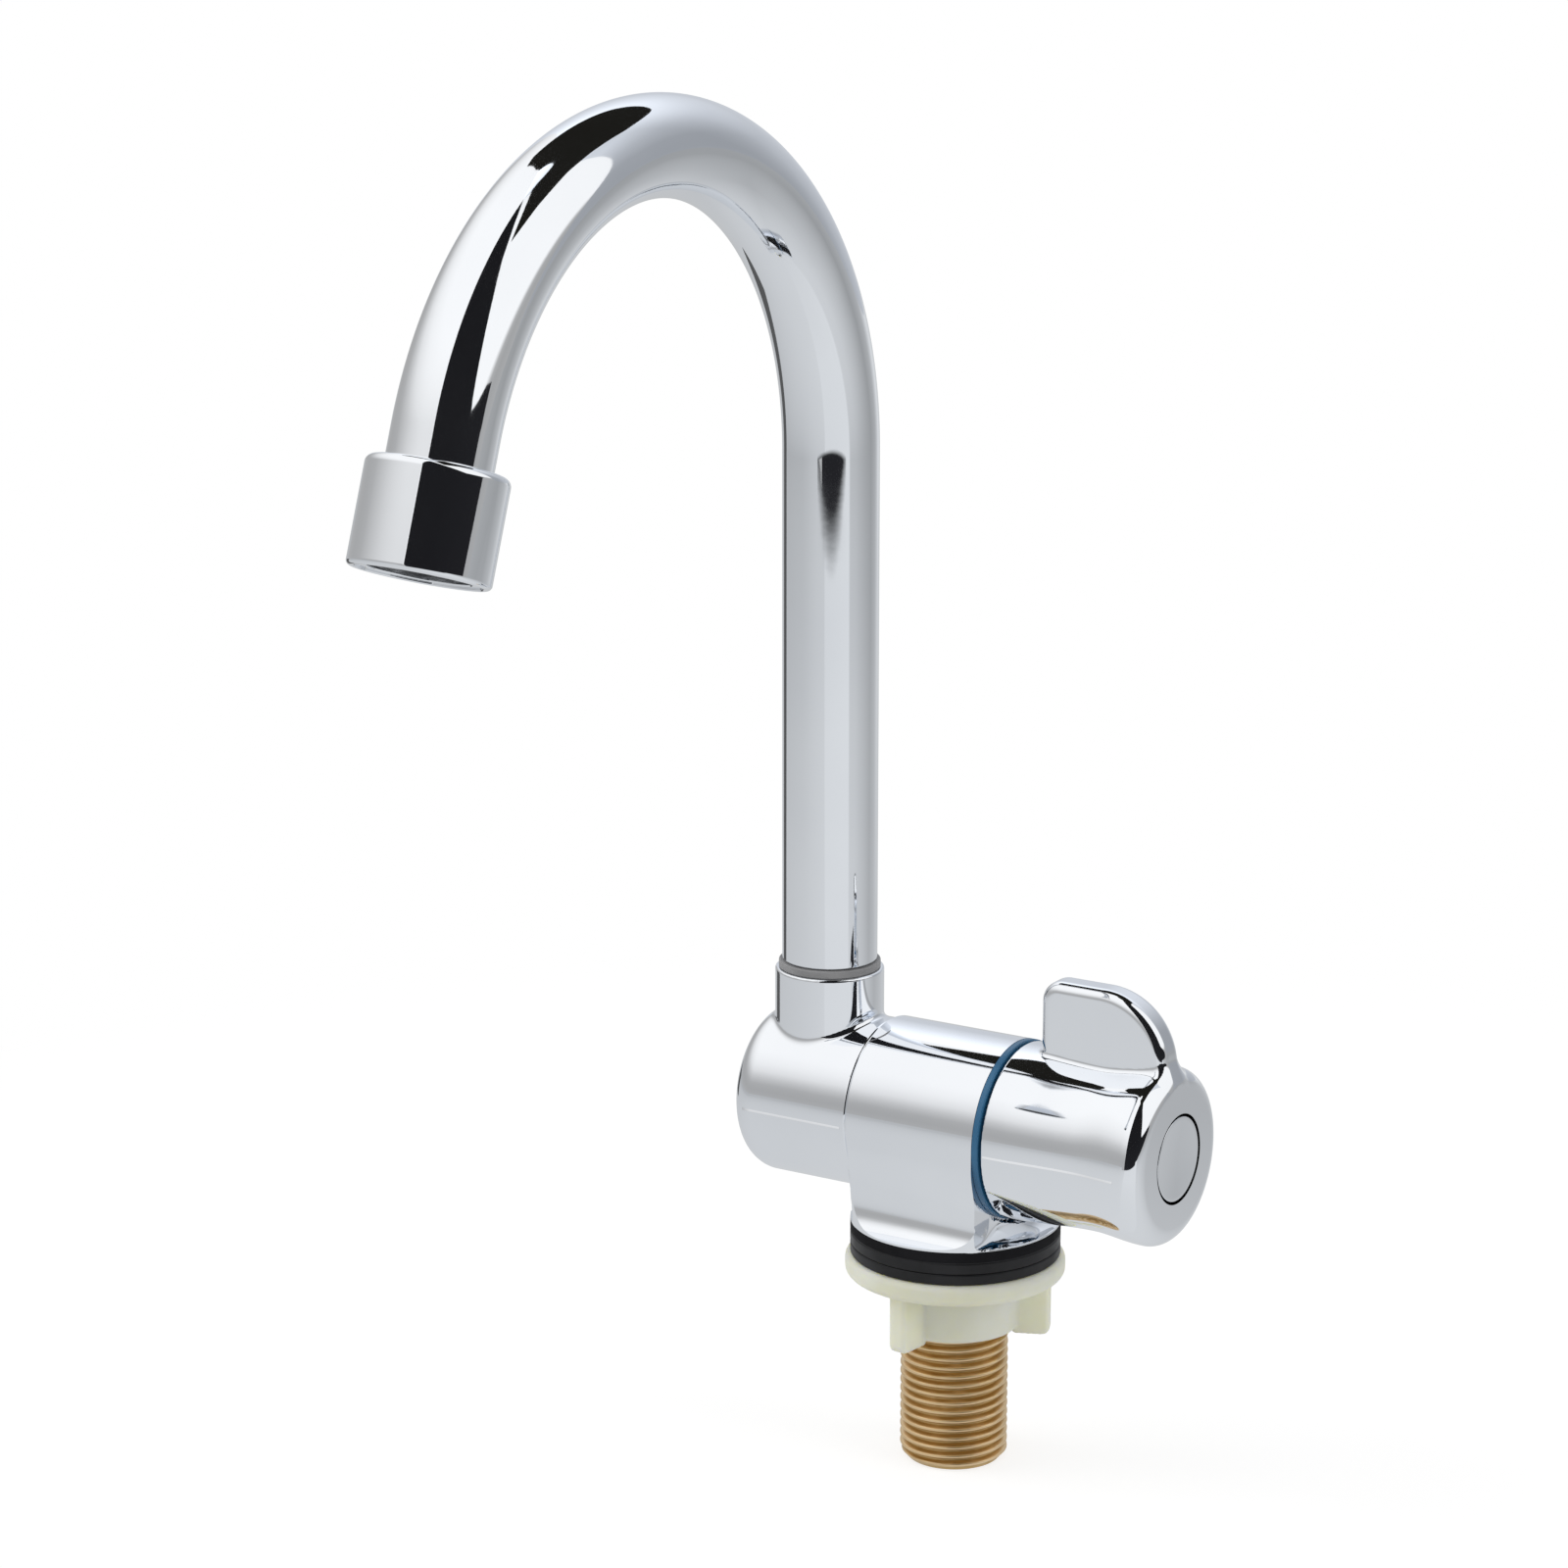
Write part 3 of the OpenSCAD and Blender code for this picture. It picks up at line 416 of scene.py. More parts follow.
finishes = {
    "chromePlate": {"metal": 1.0, "tones": ((0.873, 0.893, 0.926), (0.918, 0.938, 0.966)), "toneScale": 22,
                    "rough": (0.02, 0.055), "glossScale": 55,
                    "relief": [(90, 0.03, 0.0003, None), (900, 0.02, 0.00003, None)]},
    "turnedBrass": {"metal": 1.0, "tones": ((0.44, 0.29, 0.11), (0.64, 0.46, 0.23)), "toneScale": 160,
                    "rough": (0.28, 0.42), "glossScale": 300,
                    "relief": [(420, 0.25, 0.0001, (1, 1, 9)), (1600, 0.2, 0.00005, None)]},
    # threadBrass paints highlight on the thread's crests and shade in its roots
    "threadBrass": {"metal": 1.0, "tones": ((0.58, 0.39, 0.17), (0.84, 0.63, 0.37)), "toneScale": 140,
                    "crest": (0.0094, 0.01045, 0.22), "rough": (0.30, 0.46), "glossScale": 300,
                    "relief": [(420, 0.2, 0.0001, (1, 1, 9)), (1600, 0.2, 0.00005, None)]},
    "blackRubber": {"tones": ((0.007, 0.007, 0.008), (0.016, 0.016, 0.018)), "toneScale": 140,
                    "rough": (0.36, 0.52), "glossScale": 260, "sockets": {"Specular IOR Level": 0.3},
                    "relief": [(700, 0.25, 0.0001, None), (2600, 0.3, 0.00005, None)]},
    # painted shade: darker, duller rubber for the gasket's upper band, standing in for the shade under the
    # body's rim
    "shadedMattRubber": {"tones": ((0.006, 0.006, 0.007), (0.013, 0.013, 0.015)), "toneScale": 140,
                   "rough": (0.6, 0.75), "glossScale": 260, "sockets": {"Specular IOR Level": 0.08},
                   "relief": [(700, 0.25, 0.0001, None), (2600, 0.3, 0.00005, None)]},
    "ivoryNylon": {"tones": ((0.80, 0.80, 0.64), (0.86, 0.87, 0.76)), "toneScale": 70,
                   "rough": (0.34, 0.5), "glossScale": 180,
                   "sockets": {"Subsurface Weight": 0.6, "Subsurface Radius": (1.0, 0.92, 0.35),
                               "Subsurface Scale": 0.005},
                   "relief": [(260, 0.15, 0.0002, None), (1500, 0.2, 0.00004, None)]},
    "bluePlastic": {"tones": ((0.022, 0.125, 0.26), (0.032, 0.16, 0.31)), "toneScale": 90,
                    "rough": (0.22, 0.36), "glossScale": 200, "relief": [(900, 0.15, 0.00005, None)]},
    "greyNylon": {"tones": ((0.22, 0.22, 0.225), (0.30, 0.30, 0.305)), "toneScale": 120,
                  "rough": (0.38, 0.55), "glossScale": 240, "relief": [(1100, 0.2, 0.00005, None)]},
    "stainlessSteel": {"metal": 1.0, "tones": ((0.45, 0.45, 0.46), (0.58, 0.58, 0.58)), "toneScale": 120,
                       "rough": (0.22, 0.38), "glossScale": 400,
                       "relief": [(900, 0.2, 0.00005, (1, 1, 6))]},
    "lappedCeramic": {"tones": ((0.82, 0.81, 0.76), (0.90, 0.89, 0.85)), "toneScale": 200,
                      "rough": (0.12, 0.25), "glossScale": 500, "relief": [(1500, 0.1, 0.00002, None)]},
    "darkPlastic": {"tones": ((0.045, 0.046, 0.05), (0.075, 0.076, 0.08)), "toneScale": 200,
                    "rough": (0.35, 0.5), "glossScale": 300, "relief": [(1400, 0.2, 0.00004, None)]},
}
# the parting line of knuckle and handle, in metres as the nodes see it
partingLine = {"high": 0.02445, "wide": 0.0005, "rise": 0.00026, "fade": 0.0001}
for name, middle, reach in (("knuckleChrome", -0.0274, 0.0112), ("handleChrome", 0.0290, 0.0142)):
    finishes[name] = {**finishes["chromePlate"], "seam": {**partingLine, "middle": middle, "reach": reach}}
slotFinish = {"chrome": "chromePlate", "brass": "turnedBrass", "black_rubber": "blackRubber",
              "ivory_plastic": "ivoryNylon", "blue_plastic": "bluePlastic", "grey_nylon": "greyNylon",
              "steel": "stainlessSteel", "ceramic": "lappedCeramic", "dark_plastic": "darkPlastic"}
ready = {name: nodeFinish(name, spec) for name, spec in finishes.items()}


def dress(piece, finish):
    piece.data.materials.clear()
    piece.data.materials.append(ready[finish])


for part in frame["record"]["subparts"]:
    dress(frame["nodes"][part["node"]], slotFinish[part["material_slot"]])
print("finishes ready:", len(ready))


# spout: tube, nozzle, aerator ring and the grey washer under the tube
tubeLoop = roundedLoop([(swanNeck["radius"] - swanNeck["wall"], swanNeck["foot"], 0.2),
                        (swanNeck["radius"], swanNeck["foot"], 0.35),
                        (swanNeck["radius"], tipStart + swanNeck["tip"], 0.2),
                        (swanNeck["radius"] - swanNeck["wall"], tipStart + swanNeck["tip"], 0.2)])
spoutTube = turned("spoutTube", splitLong(tubeLoop, swanNeck["ringEvery"]), neckPath)
dress(place(spoutTube, "spout", "chrome", "spout_tube"), "chromePlate")

nozzle = {"radius": 12.4, "bore": 11.0, "socket": 9.3, "throat": 8.05, "top": 5.5, "bottom": 24.5,
          "shoulder": 1.5, "lip": 0.9, "step": 13.0, "seat": 9.5, "arcSteps": 9}
nozzleLoop = roundedLoop([(nozzle["socket"], nozzle["top"], 0.3),
                          (nozzle["radius"], nozzle["top"], nozzle["shoulder"]),
                          (nozzle["radius"], nozzle["bottom"], nozzle["lip"]),
                          (nozzle["bore"], nozzle["bottom"], 0.3), (nozzle["bore"], nozzle["step"], 0.1),
                          (nozzle["throat"], nozzle["step"], 0.1), (nozzle["throat"], nozzle["seat"], 0.1),
                          (nozzle["socket"], nozzle["seat"], 0.1)], nozzle["arcSteps"])
spoutNozzle = turned("spoutNozzle", nozzleLoop, fromTip)
dress(place(spoutNozzle, "spout", "chrome", "spout_nozzle"), "chromePlate")

outlet = {"outer": 10.95, "inner": 9.85, "lip": 9.05, "top": 14.6, "bottom": 24.1, "seat": 22.9}
outletLoop = roundedLoop([(outlet["outer"], outlet["top"], 0.15), (outlet["outer"], outlet["bottom"], 0.35),
                          (outlet["lip"], outlet["bottom"], 0.3), (outlet["lip"], outlet["seat"], 0.1),
                          (outlet["inner"], outlet["seat"], 0.1), (outlet["inner"], outlet["top"], 0.15)])
aeratorRing = turned("aeratorRing", outletLoop, fromTip)
dress(place(aeratorRing, "spout", "chrome", "aerator_ring"), "chromePlate")

washer = {"radius": 9.9, "bore": 8.1, "low": 50.9, "high": 52.4}
washerLoop = roundedLoop([(washer["bore"], washer["low"], 0.1), (washer["radius"], washer["low"], 0.2),
                          (washer["radius"], washer["high"], 0.3), (washer["bore"], washer["high"], 0.1)])
swivelWasher = turned("swivelWasher", washerLoop, upright(portX))
dress(place(swivelWasher, "knuckle", "grey_nylon", "swivel_washer"), "greyNylon")
print("spout made")


# knuckle: a rounded barrel with the spout's socket standing on it
knuckle = {"radius": 16.7, "left": -42.1, "right": -14.9, "bottom": 8.3, "endRound": 5.4,
           "seamEdge": 0.85, "socketRadius": 10.6, "socketTop": 50.9, "socketEdge": 0.5, "fillet": 0.9,
           "step": 0.34,
           "barrelBores": [(7.55, -37, -10), (9.2, -32.7, -24.7), (10.55, -46, -36.1), (11.4, -15.0, -10)],
           "socketBores": [(3.75, axisHigh, 40), (8.05, 35.4, 55)]}


def knuckleField(p):
    k = knuckle
    rho = np.hypot(p[:, 1], p[:, 2] - axisHigh)
    barrel = roundMeet(rho - k["radius"], k["left"] - p[:, 0], k["endRound"])
    barrel = roundMeet(barrel, p[:, 0] - k["right"], k["seamEdge"])
    socket = rod(p, 2, (portX, 0), k["socketRadius"], axisHigh, k["socketTop"], k["socketEdge"])
    solid = roundUnion(barrel, socket, k["fillet"])
    bores = bored(p, 0, (0, axisHigh), k["barrelBores"]) + bored(p, 2, (portX, 0), k["socketBores"])
    return cut(solid, np.minimum.reduce(bores), mouthEdge)


knuckleCast = castPiece("knuckleCast", knuckleField,
                        (knuckle["left"], -knuckle["radius"], knuckle["bottom"]),
                        (knuckle["right"], knuckle["radius"], knuckle["socketTop"]), knuckle["step"])
dress(place(knuckleCast, "knuckle", "chrome", "knuckle"), "knuckleChrome")

plug = {"radius": 10.5, "left": -42.1, "right": -40.6, "edge": 0.35}
plugLoop = roundedLoop([(0, plug["left"], 0), (plug["radius"], plug["left"], plug["edge"]),
                        (plug["radius"], plug["right"], 0.15), (0, plug["right"], 0)])
knucklePlug = turned("knucklePlug", plugLoop, alongBarrel)
dress(place(knucklePlug, "knuckle", "chrome", "knuckle_cap"), "chromePlate")
print("knuckle made")


# body: barrel, column and flared round base in one casting
body = {"radius": 17.4, "left": -14.5, "right": 13.2, "top": 42.4, "columnHalf": 15.8, "columnTop": 21.5,
        "columnLow": 13.2, "flareTilt": 0.07, "flarePower": 3.0, "baseRadius": 20.4, "bottom": 4.5,
        "rimTop": 4.9, "rimDraft": 0.12, "skirtLap": 1, "skirtFillet": 0.8, "skirtTop": 12,
        "noLimit": -9.0, "knuckleSweep": 17.3, "handleSweep": 18.0, "bossRadius": 12.0, "bossRight": 14.7,
        "bossEdge": 0.2, "step": 0.4,
        "barrelBores": [(9.8, -7.5, 20), (7.55, -20, -7), (11.05, -20, -13.5)],
        "shankBores": [(10.53, 0, 13.2), (6.5, 10, axisHigh)]}


def footProfile(x, r, z):
    # the column draws in below the barrel, then flares out to the rim, lower towards the handle
    b = body
    low = b["columnLow"] - b["flareTilt"] * x
    drawn = np.clip((b["columnTop"] - z) / (b["columnTop"] - low), 0, 1)
    depth = b["radius"] - (b["radius"] - b["columnHalf"]) * (1 - np.cos(math.pi * drawn)) / 2
    wide, high, power = b["baseRadius"] - b["columnHalf"], low - b["rimTop"], b["flarePower"]
    u, v = np.abs(r - b["baseRadius"]) / wide, np.abs(z - low) / high
    away = (u ** power + v ** power) ** (1 / power)
    steep = np.hypot(u ** (power - 1) / wide, v ** (power - 1) / high)
    hollow = (away - 1) * away ** (power - 1) / np.maximum(steep, 1e-6)
    return np.where(z > low, r - depth, -hollow)


def barrelWall(p):
    return np.hypot(p[:, 1], p[:, 2] - axisHigh) - body["radius"]


def columnWall(p):
    return footProfile(p[:, 0], np.abs(p[:, 1]), p[:, 2])


def rimWall(p):
    return np.hypot(p[:, 0], p[:, 1]) - body["baseRadius"]


def footWall(p):
    return rimWall(p) - np.maximum(p[:, 2] - body["rimTop"], 0) * body["rimDraft"]


def sideWall(p):
    return np.minimum(barrelWall(p), np.maximum(columnWall(p), p[:, 2] - axisHigh))


def leftEnd(p):
    return body["left"] - p[:, 0]


def rightEnd(p):
    return p[:, 0] - body["right"]


def rimCorner(p):
    return p[:, 2] - body["rimTop"]


def underside(p):
    return body["bottom"] - p[:, 2]


def bodyField(p):
    b = body
    x, y, z = p.T
    rho = np.hypot(y, z - axisHigh)
    ends = slab(x, b["left"], b["right"])
    barrel = roundMeet(rho - b["radius"], ends, 0)
    column = np.maximum(np.maximum(ends, columnWall(p)), slab(z, b["bottom"], axisHigh))
    # the flare beyond the column's two ends, turned about the shank
    skirt = footProfile(x, np.hypot(x, y), z)
    skirt = np.maximum(skirt, slab(z, b["bottom"], b["columnLow"] - b["flareTilt"] * x))
    skirt = np.maximum(skirt, -slab(x, b["left"] + b["skirtLap"], b["right"] - b["skirtLap"]))
    foot = roundUnion(column, np.maximum(skirt, rimWall(p)), b["skirtFillet"])
    foot = np.maximum(foot, footWall(p))
    # room for the knuckle and the handle to turn
    foot = cut(foot, np.maximum(rho - b["knuckleSweep"], x - b["left"]), 0)
    foot = cut(foot, np.maximum(rho - b["handleSweep"], b["right"] - x), 0)
    solid = np.minimum(barrel, foot)
    solid = np.maximum(solid, np.where(z > b["skirtTop"], ends, b["noLimit"]))
    boss = rod(p, 0, (0, axisHigh), b["bossRadius"], 0, b["bossRight"], b["bossEdge"])
    solid = np.minimum(solid, boss)
    bores = bored(p, 0, (0, axisHigh), b["barrelBores"]) + bored(p, 2, (0, 0), b["shankBores"])
    return cut(solid, np.minimum.reduce(bores), mouthEdge)


bodyCast = castPiece("bodyCast", bodyField, (-body["baseRadius"], -body["baseRadius"], body["bottom"]),
                     (body["baseRadius"], body["baseRadius"], body["top"]), body["step"],
                     [(sideWall, leftEnd), (sideWall, rightEnd), (rimWall, rimCorner),
                      (columnWall, footWall), (rimWall, underside)])
dress(place(bodyCast, "tap_body", "chrome", "body"), "chromePlate")
print("body made")


# handle: waisted barrel, rounded flange and thumb fin
handle = {"left": 15.0, "right": 48.1, "bottom": 7.8, "length": 33.1, "mouth": 17.2, "mouthRound": 0.4,
          "waist": 16.3, "waistAt": 18.5, "flange": 17.2, "flangeRound": 3.8, "cavity": 14.6,
          "cavityEnd": 34.0, "recess": 8.72, "headSeat": 36.8, "screwBore": 2.7, "finLeft": 19.7,
          "finRight": 46.4, "finHigh": 31.3, "finHalf": 3.5, "finCorner": 4.0, "finRound": 14.0,
          "finEdge": 2.1, "finDraft": 0.006, "draftFrom": 17, "finRoot": 10, "rootEdge": 0.1,
          "finFillet": 0.9, "endFillet": 1.6, "endFrom": 40, "endOver": 6, "bossRadius": 7.5,
          "bossLeft": 24.1, "bossRight": 35, "bossEdge": 0.2, "bossBore": 3.9, "step": 0.345}


def handleField(p):
    h = handle
    x, y, z = p[:, 0] - h["left"], p[:, 1], p[:, 2] - axisHigh
    rho = np.hypot(y, z)
    crest = h["length"] - h["flangeRound"]
    before = np.clip(x / h["waistAt"], 0, 1)
    firstHalf = (h["mouth"] + h["waist"]) / 2 + (h["mouth"] - h["waist"]) / 2 * np.cos(math.pi * before)
    after = np.clip((x - h["waistAt"]) / (crest - h["waistAt"]), 0, 1)
    secondHalf = (h["waist"] + h["flange"]) / 2 + (h["waist"] - h["flange"]) / 2 * np.cos(math.pi * after)
    skin = rho - np.where(x < h["waistAt"], firstHalf, secondHalf)
    barrel = roundMeet(skin, x - h["length"], h["flangeRound"])
    barrel = roundMeet(barrel, -x, h["mouthRound"])
    # fin, drawn as a box whose two upper corners have their own rounding
    midX, halfX = (h["finLeft"] + h["finRight"]) / 2, (h["finRight"] - h["finLeft"]) / 2
    u = p[:, 0] - midX
    outer = u > halfX - h["finRound"]
    corner = np.where(outer, h["finRound"], h["finCorner"])
    du, dz = np.where(outer, u, -u) - halfX + corner, z - h["finHigh"] + corner
    flat = np.minimum(np.maximum(du, dz), 0) + np.hypot(np.maximum(du, 0), np.maximum(dz, 0)) - corner
    cheek = np.abs(y) - h["finHalf"] + h["finDraft"] * np.maximum(z - h["draftFrom"], 0)
    fin = roundMeet(flat, cheek, h["finEdge"])
    fin = roundMeet(fin, h["finRoot"] - z, h["rootEdge"])
    # the fillet under the fin grows towards the outer end
    outward = np.clip((p[:, 0] - h["endFrom"]) / h["endOver"], 0, 1)
    solid = roundUnion(barrel, fin, h["finFillet"] + h["endFillet"] * outward ** 2)
    solid = np.maximum(solid, x - h["length"])
    cavity = np.maximum(rho - h["cavity"], p[:, 0] - h["cavityEnd"])
    recess = np.maximum(rho - h["recess"], h["headSeat"] - p[:, 0])
    solid = cut(solid, np.minimum.reduce([cavity, recess, rho - h["screwBore"]]), 0)
    boss = rod(p, 0, (0, axisHigh), h["bossRadius"], h["bossLeft"], h["bossRight"], h["bossEdge"])
    boss = np.maximum(boss, h["bossBore"] - rho)
    return np.minimum(solid, boss)


def recessWall(p):
    return np.hypot(p[:, 1], p[:, 2] - axisHigh) - handle["recess"]


def outerEnd(p):
    return p[:, 0] - handle["left"] - handle["length"]


handleCast = castPiece("handleCast", handleField, (handle["left"], -handle["flange"], handle["bottom"]),
                       (handle["right"], handle["flange"], axisHigh + handle["finHigh"]), handle["step"],
                       [(recessWall, outerEnd)])
dress(place(handleCast, "handle", "chrome", "handle"), "handleChrome")

cap = {"radius": 8.14, "face": 48.0, "thick": 1.6, "skirt": 5.6, "wall": 1.2, "dish": 0.4, "rim": 0.5,
       "dishSteps": 24}
dishRadius = ((cap["radius"] - cap["rim"]) ** 2 + cap["dish"] ** 2) / (2 * cap["dish"])
dishLoop = []
for k in range(cap["dishSteps"] + 1):
    r = (cap["radius"] - cap["rim"]) * k / cap["dishSteps"]
    dishLoop.append((r, cap["face"] - cap["dish"] + dishRadius - math.sqrt(dishRadius ** 2 - r ** 2)))
capInner = cap["radius"] - cap["wall"]
capFoot, capBack = cap["face"] - cap["skirt"], cap["face"] - cap["thick"]
rimLoop = roundedLoop([dishLoop[-1] + (0,), (cap["radius"], cap["face"], 0.1),
                       (cap["radius"], capFoot, 0.15), (capInner, capFoot, 0.15),
                       (capInner, capBack, 0.1), (0, capBack, 0)])
handleCap = turned("handleCap", np.vstack([np.array(dishLoop[:-1]), rimLoop]), alongBarrel)
dress(place(handleCap, "handle", "chrome", "handle_cap"), "chromePlate")

ring = {"radius": 17.4, "bore": 12.05, "left": 13.2, "right": 14.5}
ringLoop = roundedLoop([(ring["bore"], ring["left"], 0.1), (ring["bore"], ring["right"], 0.1),
                        (ring["radius"], ring["right"], 0.3), (ring["radius"], ring["left"], 0.2)])
blueRing = turned("blueRing", ringLoop, alongBarrel)
dress(place(blueRing, "tap_body", "blue_plastic", "indicator_ring"), "bluePlastic")
print("handle made")


# deck fixing: gasket, washer, wing nut and threaded shank
gasket = {"radius": 20.4, "bore": 10.6, "high": 4.5, "groove": 0.15, "line": 0.2, "slope": 0.05,
          "shadedFrom": 2.4, "arcSteps": 4}
grooveLow = gasket["high"] / 2 - gasket["line"] / 2
grooveHigh = gasket["high"] / 2 + gasket["line"] / 2
grooveFloor = gasket["radius"] - gasket["groove"]
gasketLoop = roundedLoop([(gasket["bore"], 0, 0.2), (gasket["radius"], 0, 0.35),
                          (gasket["radius"], grooveLow - gasket["slope"], 0.25),
                          (grooveFloor, grooveLow, 0.05), (grooveFloor, grooveHigh, 0.05),
                          (gasket["radius"], grooveHigh + gasket["slope"], 0.25),
                          (gasket["radius"], gasket["high"], 0.35), (gasket["bore"], gasket["high"], 0.2)],
                         gasket["arcSteps"])
baseGasket = turned("baseGasket", gasketLoop, upright())
dress(place(baseGasket, "tap_body", "black_rubber", "base_gasket"), "blackRubber")
baseGasket.data.materials.append(ready["shadedMattRubber"])      # the upper band is painted darker and duller: painted shade under the body's rim
for face in baseGasket.data.polygons:
    face.material_index = int(face.center.z > gasket["shadedFrom"] * mm)

pad = {"radius": 20.4, "bore": 10.6, "low": -2.2, "high": 0, "arcSteps": 5}
padLoop = roundedLoop([(pad["bore"], pad["low"], 0.2), (pad["radius"], pad["low"], 0.4),
                       (pad["radius"], pad["high"], 0.4), (pad["bore"], pad["high"], 0.2)], pad["arcSteps"])
deckWasher = turned("deckWasher", padLoop, upright())
dress(place(deckWasher, "deck_washer", "black_rubber", "deck_washer"), "blackRubber")

nut = {"flange": 21.38, "top": -2.2, "flangeLow": -6.4, "lap": 1, "hub": 12.5, "hubEdge": 0.7,
       "bottom": -17.0, "wings": 3, "firstWing": 263.0, "wingReach": 18.7, "wingLow": -18.2,
       "wingHalf": 1.9, "wingRound": 1.5, "wingEdge": 0.8, "wingRoot": 11.6, "rootEdge": 0.1, "edge": 1.4,
       "fillet": 0.7, "bore": 10.6, "boreRound": 0.4, "castHalf": 21.4, "step": 0.45}


def nutField(p):
    n = nut
    x, y, z = p.T
    rho = np.hypot(x, y)
    flange = roundMeet(rho - n["flange"], slab(z, n["flangeLow"], n["top"]), n["edge"])
    hub = roundMeet(rho - n["hub"], slab(z, n["bottom"], n["top"] - n["lap"]), n["hubEdge"])
    wings = []
    for k in range(n["wings"]):
        turn = math.radians(n["firstWing"] + 360 * k / n["wings"])
        along, aside = x * math.cos(turn) + y * math.sin(turn), y * math.cos(turn) - x * math.sin(turn)
        side = roundMeet(along - n["wingReach"], n["wingLow"] - z, n["wingRound"])
        side = np.maximum(side, z - n["flangeLow"] - n["lap"])
        wing = roundMeet(side, np.abs(aside) - n["wingHalf"], n["wingEdge"])
        wings.append(roundMeet(wing, n["wingRoot"] - along, n["rootEdge"]))
    solid = roundUnion(hub, np.minimum.reduce(wings), n["fillet"])
    solid = roundUnion(solid, flange, n["fillet"])
    solid = np.maximum(np.maximum(solid, z - n["top"]), rho - n["flange"])
    return cut(solid, rho - n["bore"], n["boreRound"])


wingNut = castPiece("wingNut", nutField, (-nut["castHalf"], -nut["castHalf"], nut["wingLow"]),
                    (nut["castHalf"], nut["castHalf"], nut["top"]), nut["step"])
dress(place(wingNut, "wing_nut", "ivory_plastic", "wing_nut"), "ivoryNylon")

shank = {"radius": 10.4775, "depth": 1.162, "pitch": 1.814, "bore": 6.5, "bottom": -44.2, "top": 12.0,
         "segments": 112, "perTurn": 14, "threadTop": 0.6, "plainRows": [4.0, 8.0], "formWide": 0.85,
         "flank": 0.7, "runOut": 0.5, "endBelow": 0.25, "endSlope": 0.9, "lead": 0.4}


def threadRadius(angle, z):
    # rounded 55 degree form, fading to a plain shank above the deck and chamfered at the end
    core = shank["radius"] - shank["depth"]
    phase = (z / shank["pitch"] - angle / (2 * math.pi)) % 1.0
    rise = np.clip((shank["formWide"] - np.abs(2 * phase - 1)) / shank["flank"], 0, 1)
    rise = rise * rise * (3 - 2 * rise)
    plain = np.clip(z / shank["runOut"], 0, 1)
    r = core + shank["depth"] * np.maximum(rise, plain)
    return np.minimum(r, core - shank["endBelow"] + (z - shank["bottom"]) * shank["endSlope"])


rowHigh = shank["pitch"] / shank["perTurn"]
heights = np.concatenate([np.arange(shank["bottom"], shank["threadTop"], rowHigh), shank["plainRows"],
                          [shank["top"]]])
angles = np.arange(shank["segments"]) * 2 * math.pi / shank["segments"]
gridA, gridZ = np.meshgrid(angles, heights)
outerR = threadRadius(gridA, gridZ)
outerWall = np.stack([outerR * np.cos(gridA), outerR * np.sin(gridA), gridZ], -1).reshape(-1, 3)
seg, rows = shank["segments"], len(heights)
faces = []


def ringAt(radius, z):
    return np.array([(radius * math.cos(a), radius * math.sin(a), z) for a in angles])


def band(first, second):
    for k in range(seg):
        m = (k + 1) % seg
        faces.append((first + k, first + m, second + m, second + k))


topRow, innerLow, innerHigh, leadRow = ((rows + k) * seg for k in (-1, 0, 1, 2))
walls = [outerWall, ringAt(shank["bore"], shank["bottom"] + shank["lead"]),
         ringAt(shank["bore"], shank["top"]), ringAt(shank["bore"] + shank["lead"], shank["bottom"])]
for i in range(rows - 1):
    band(i * seg, (i + 1) * seg)
for first, second in ((topRow, innerHigh), (innerHigh, innerLow), (innerLow, leadRow), (leadRow, 0)):
    band(first, second)
threadedShank = newPiece("threadedShank", np.vstack(walls), faces)
dress(place(threadedShank, "tap_body", "brass", "shank"), "threadBrass")
print("deck fixing made")


# stage: floor, cards and flags that the chrome mirrors, lamps and world
studio = {"floor": -44.2, "centre": (-20.0, -40.0, 100.0), "aboveNeck": (-28.0, -63.0, 225.0),
          "floorReach": 2600.0, "floorTone": 0.36, "floorBounce": 0.35, "frontEdge": 932.0,
          "frontMiddle": -58.0, "frontHalf": 36.0, "frontTone": 0.04, "nearFloor": 0.68, "nearTo": 250,
          "farOver": 850, "seenFloor": 1.1, "fade": (0.1, 0.35), "worldFill": 0.55, "leftPower": 8.0,
          "rightPower": 4.5, "lampAim": (0, -0.03, 0.08)}


def stageMesh(name, verts, faces, mat):
    piece = newPiece(name, verts, faces)
    piece.data.materials.append(mat)
    return piece


cardGlow = bpy.data.materials.new("cardGlow")
cardGlow.use_nodes = True
nodes, links = cardGlow.node_tree.nodes, cardGlow.node_tree.links
nodes.clear()
out = nodes.new("ShaderNodeOutputMaterial")
glow = nodes.new("ShaderNodeEmission")
shade = nodes.new("ShaderNodeVertexColor")
shade.layer_name = "level"
links.new(shade.outputs["Color"], glow.inputs["Color"])
links.new(glow.outputs["Emission"], out.inputs["Surface"])


def mirrorCard(name, verts, rows, tones, tint):
    # a grid of glowing points that only the gloss sees, rows points to each column
    columns = len(verts) // rows
    faces = [(i * rows + k, (i + 1) * rows + k, (i + 1) * rows + k + 1, i * rows + k + 1)
             for i in range(columns - 1) for k in range(rows - 1)]
    card = stageMesh(name, verts, faces, cardGlow)
    shade = card.data.color_attributes.new("level", "FLOAT_COLOR", "POINT")
    shade.data.foreach_set("color", [c for tone in tones for c in (*(tone * t for t in tint), 1.0)])
    card.visible_camera = card.visible_diffuse = card.visible_shadow = card.visible_transmission = False


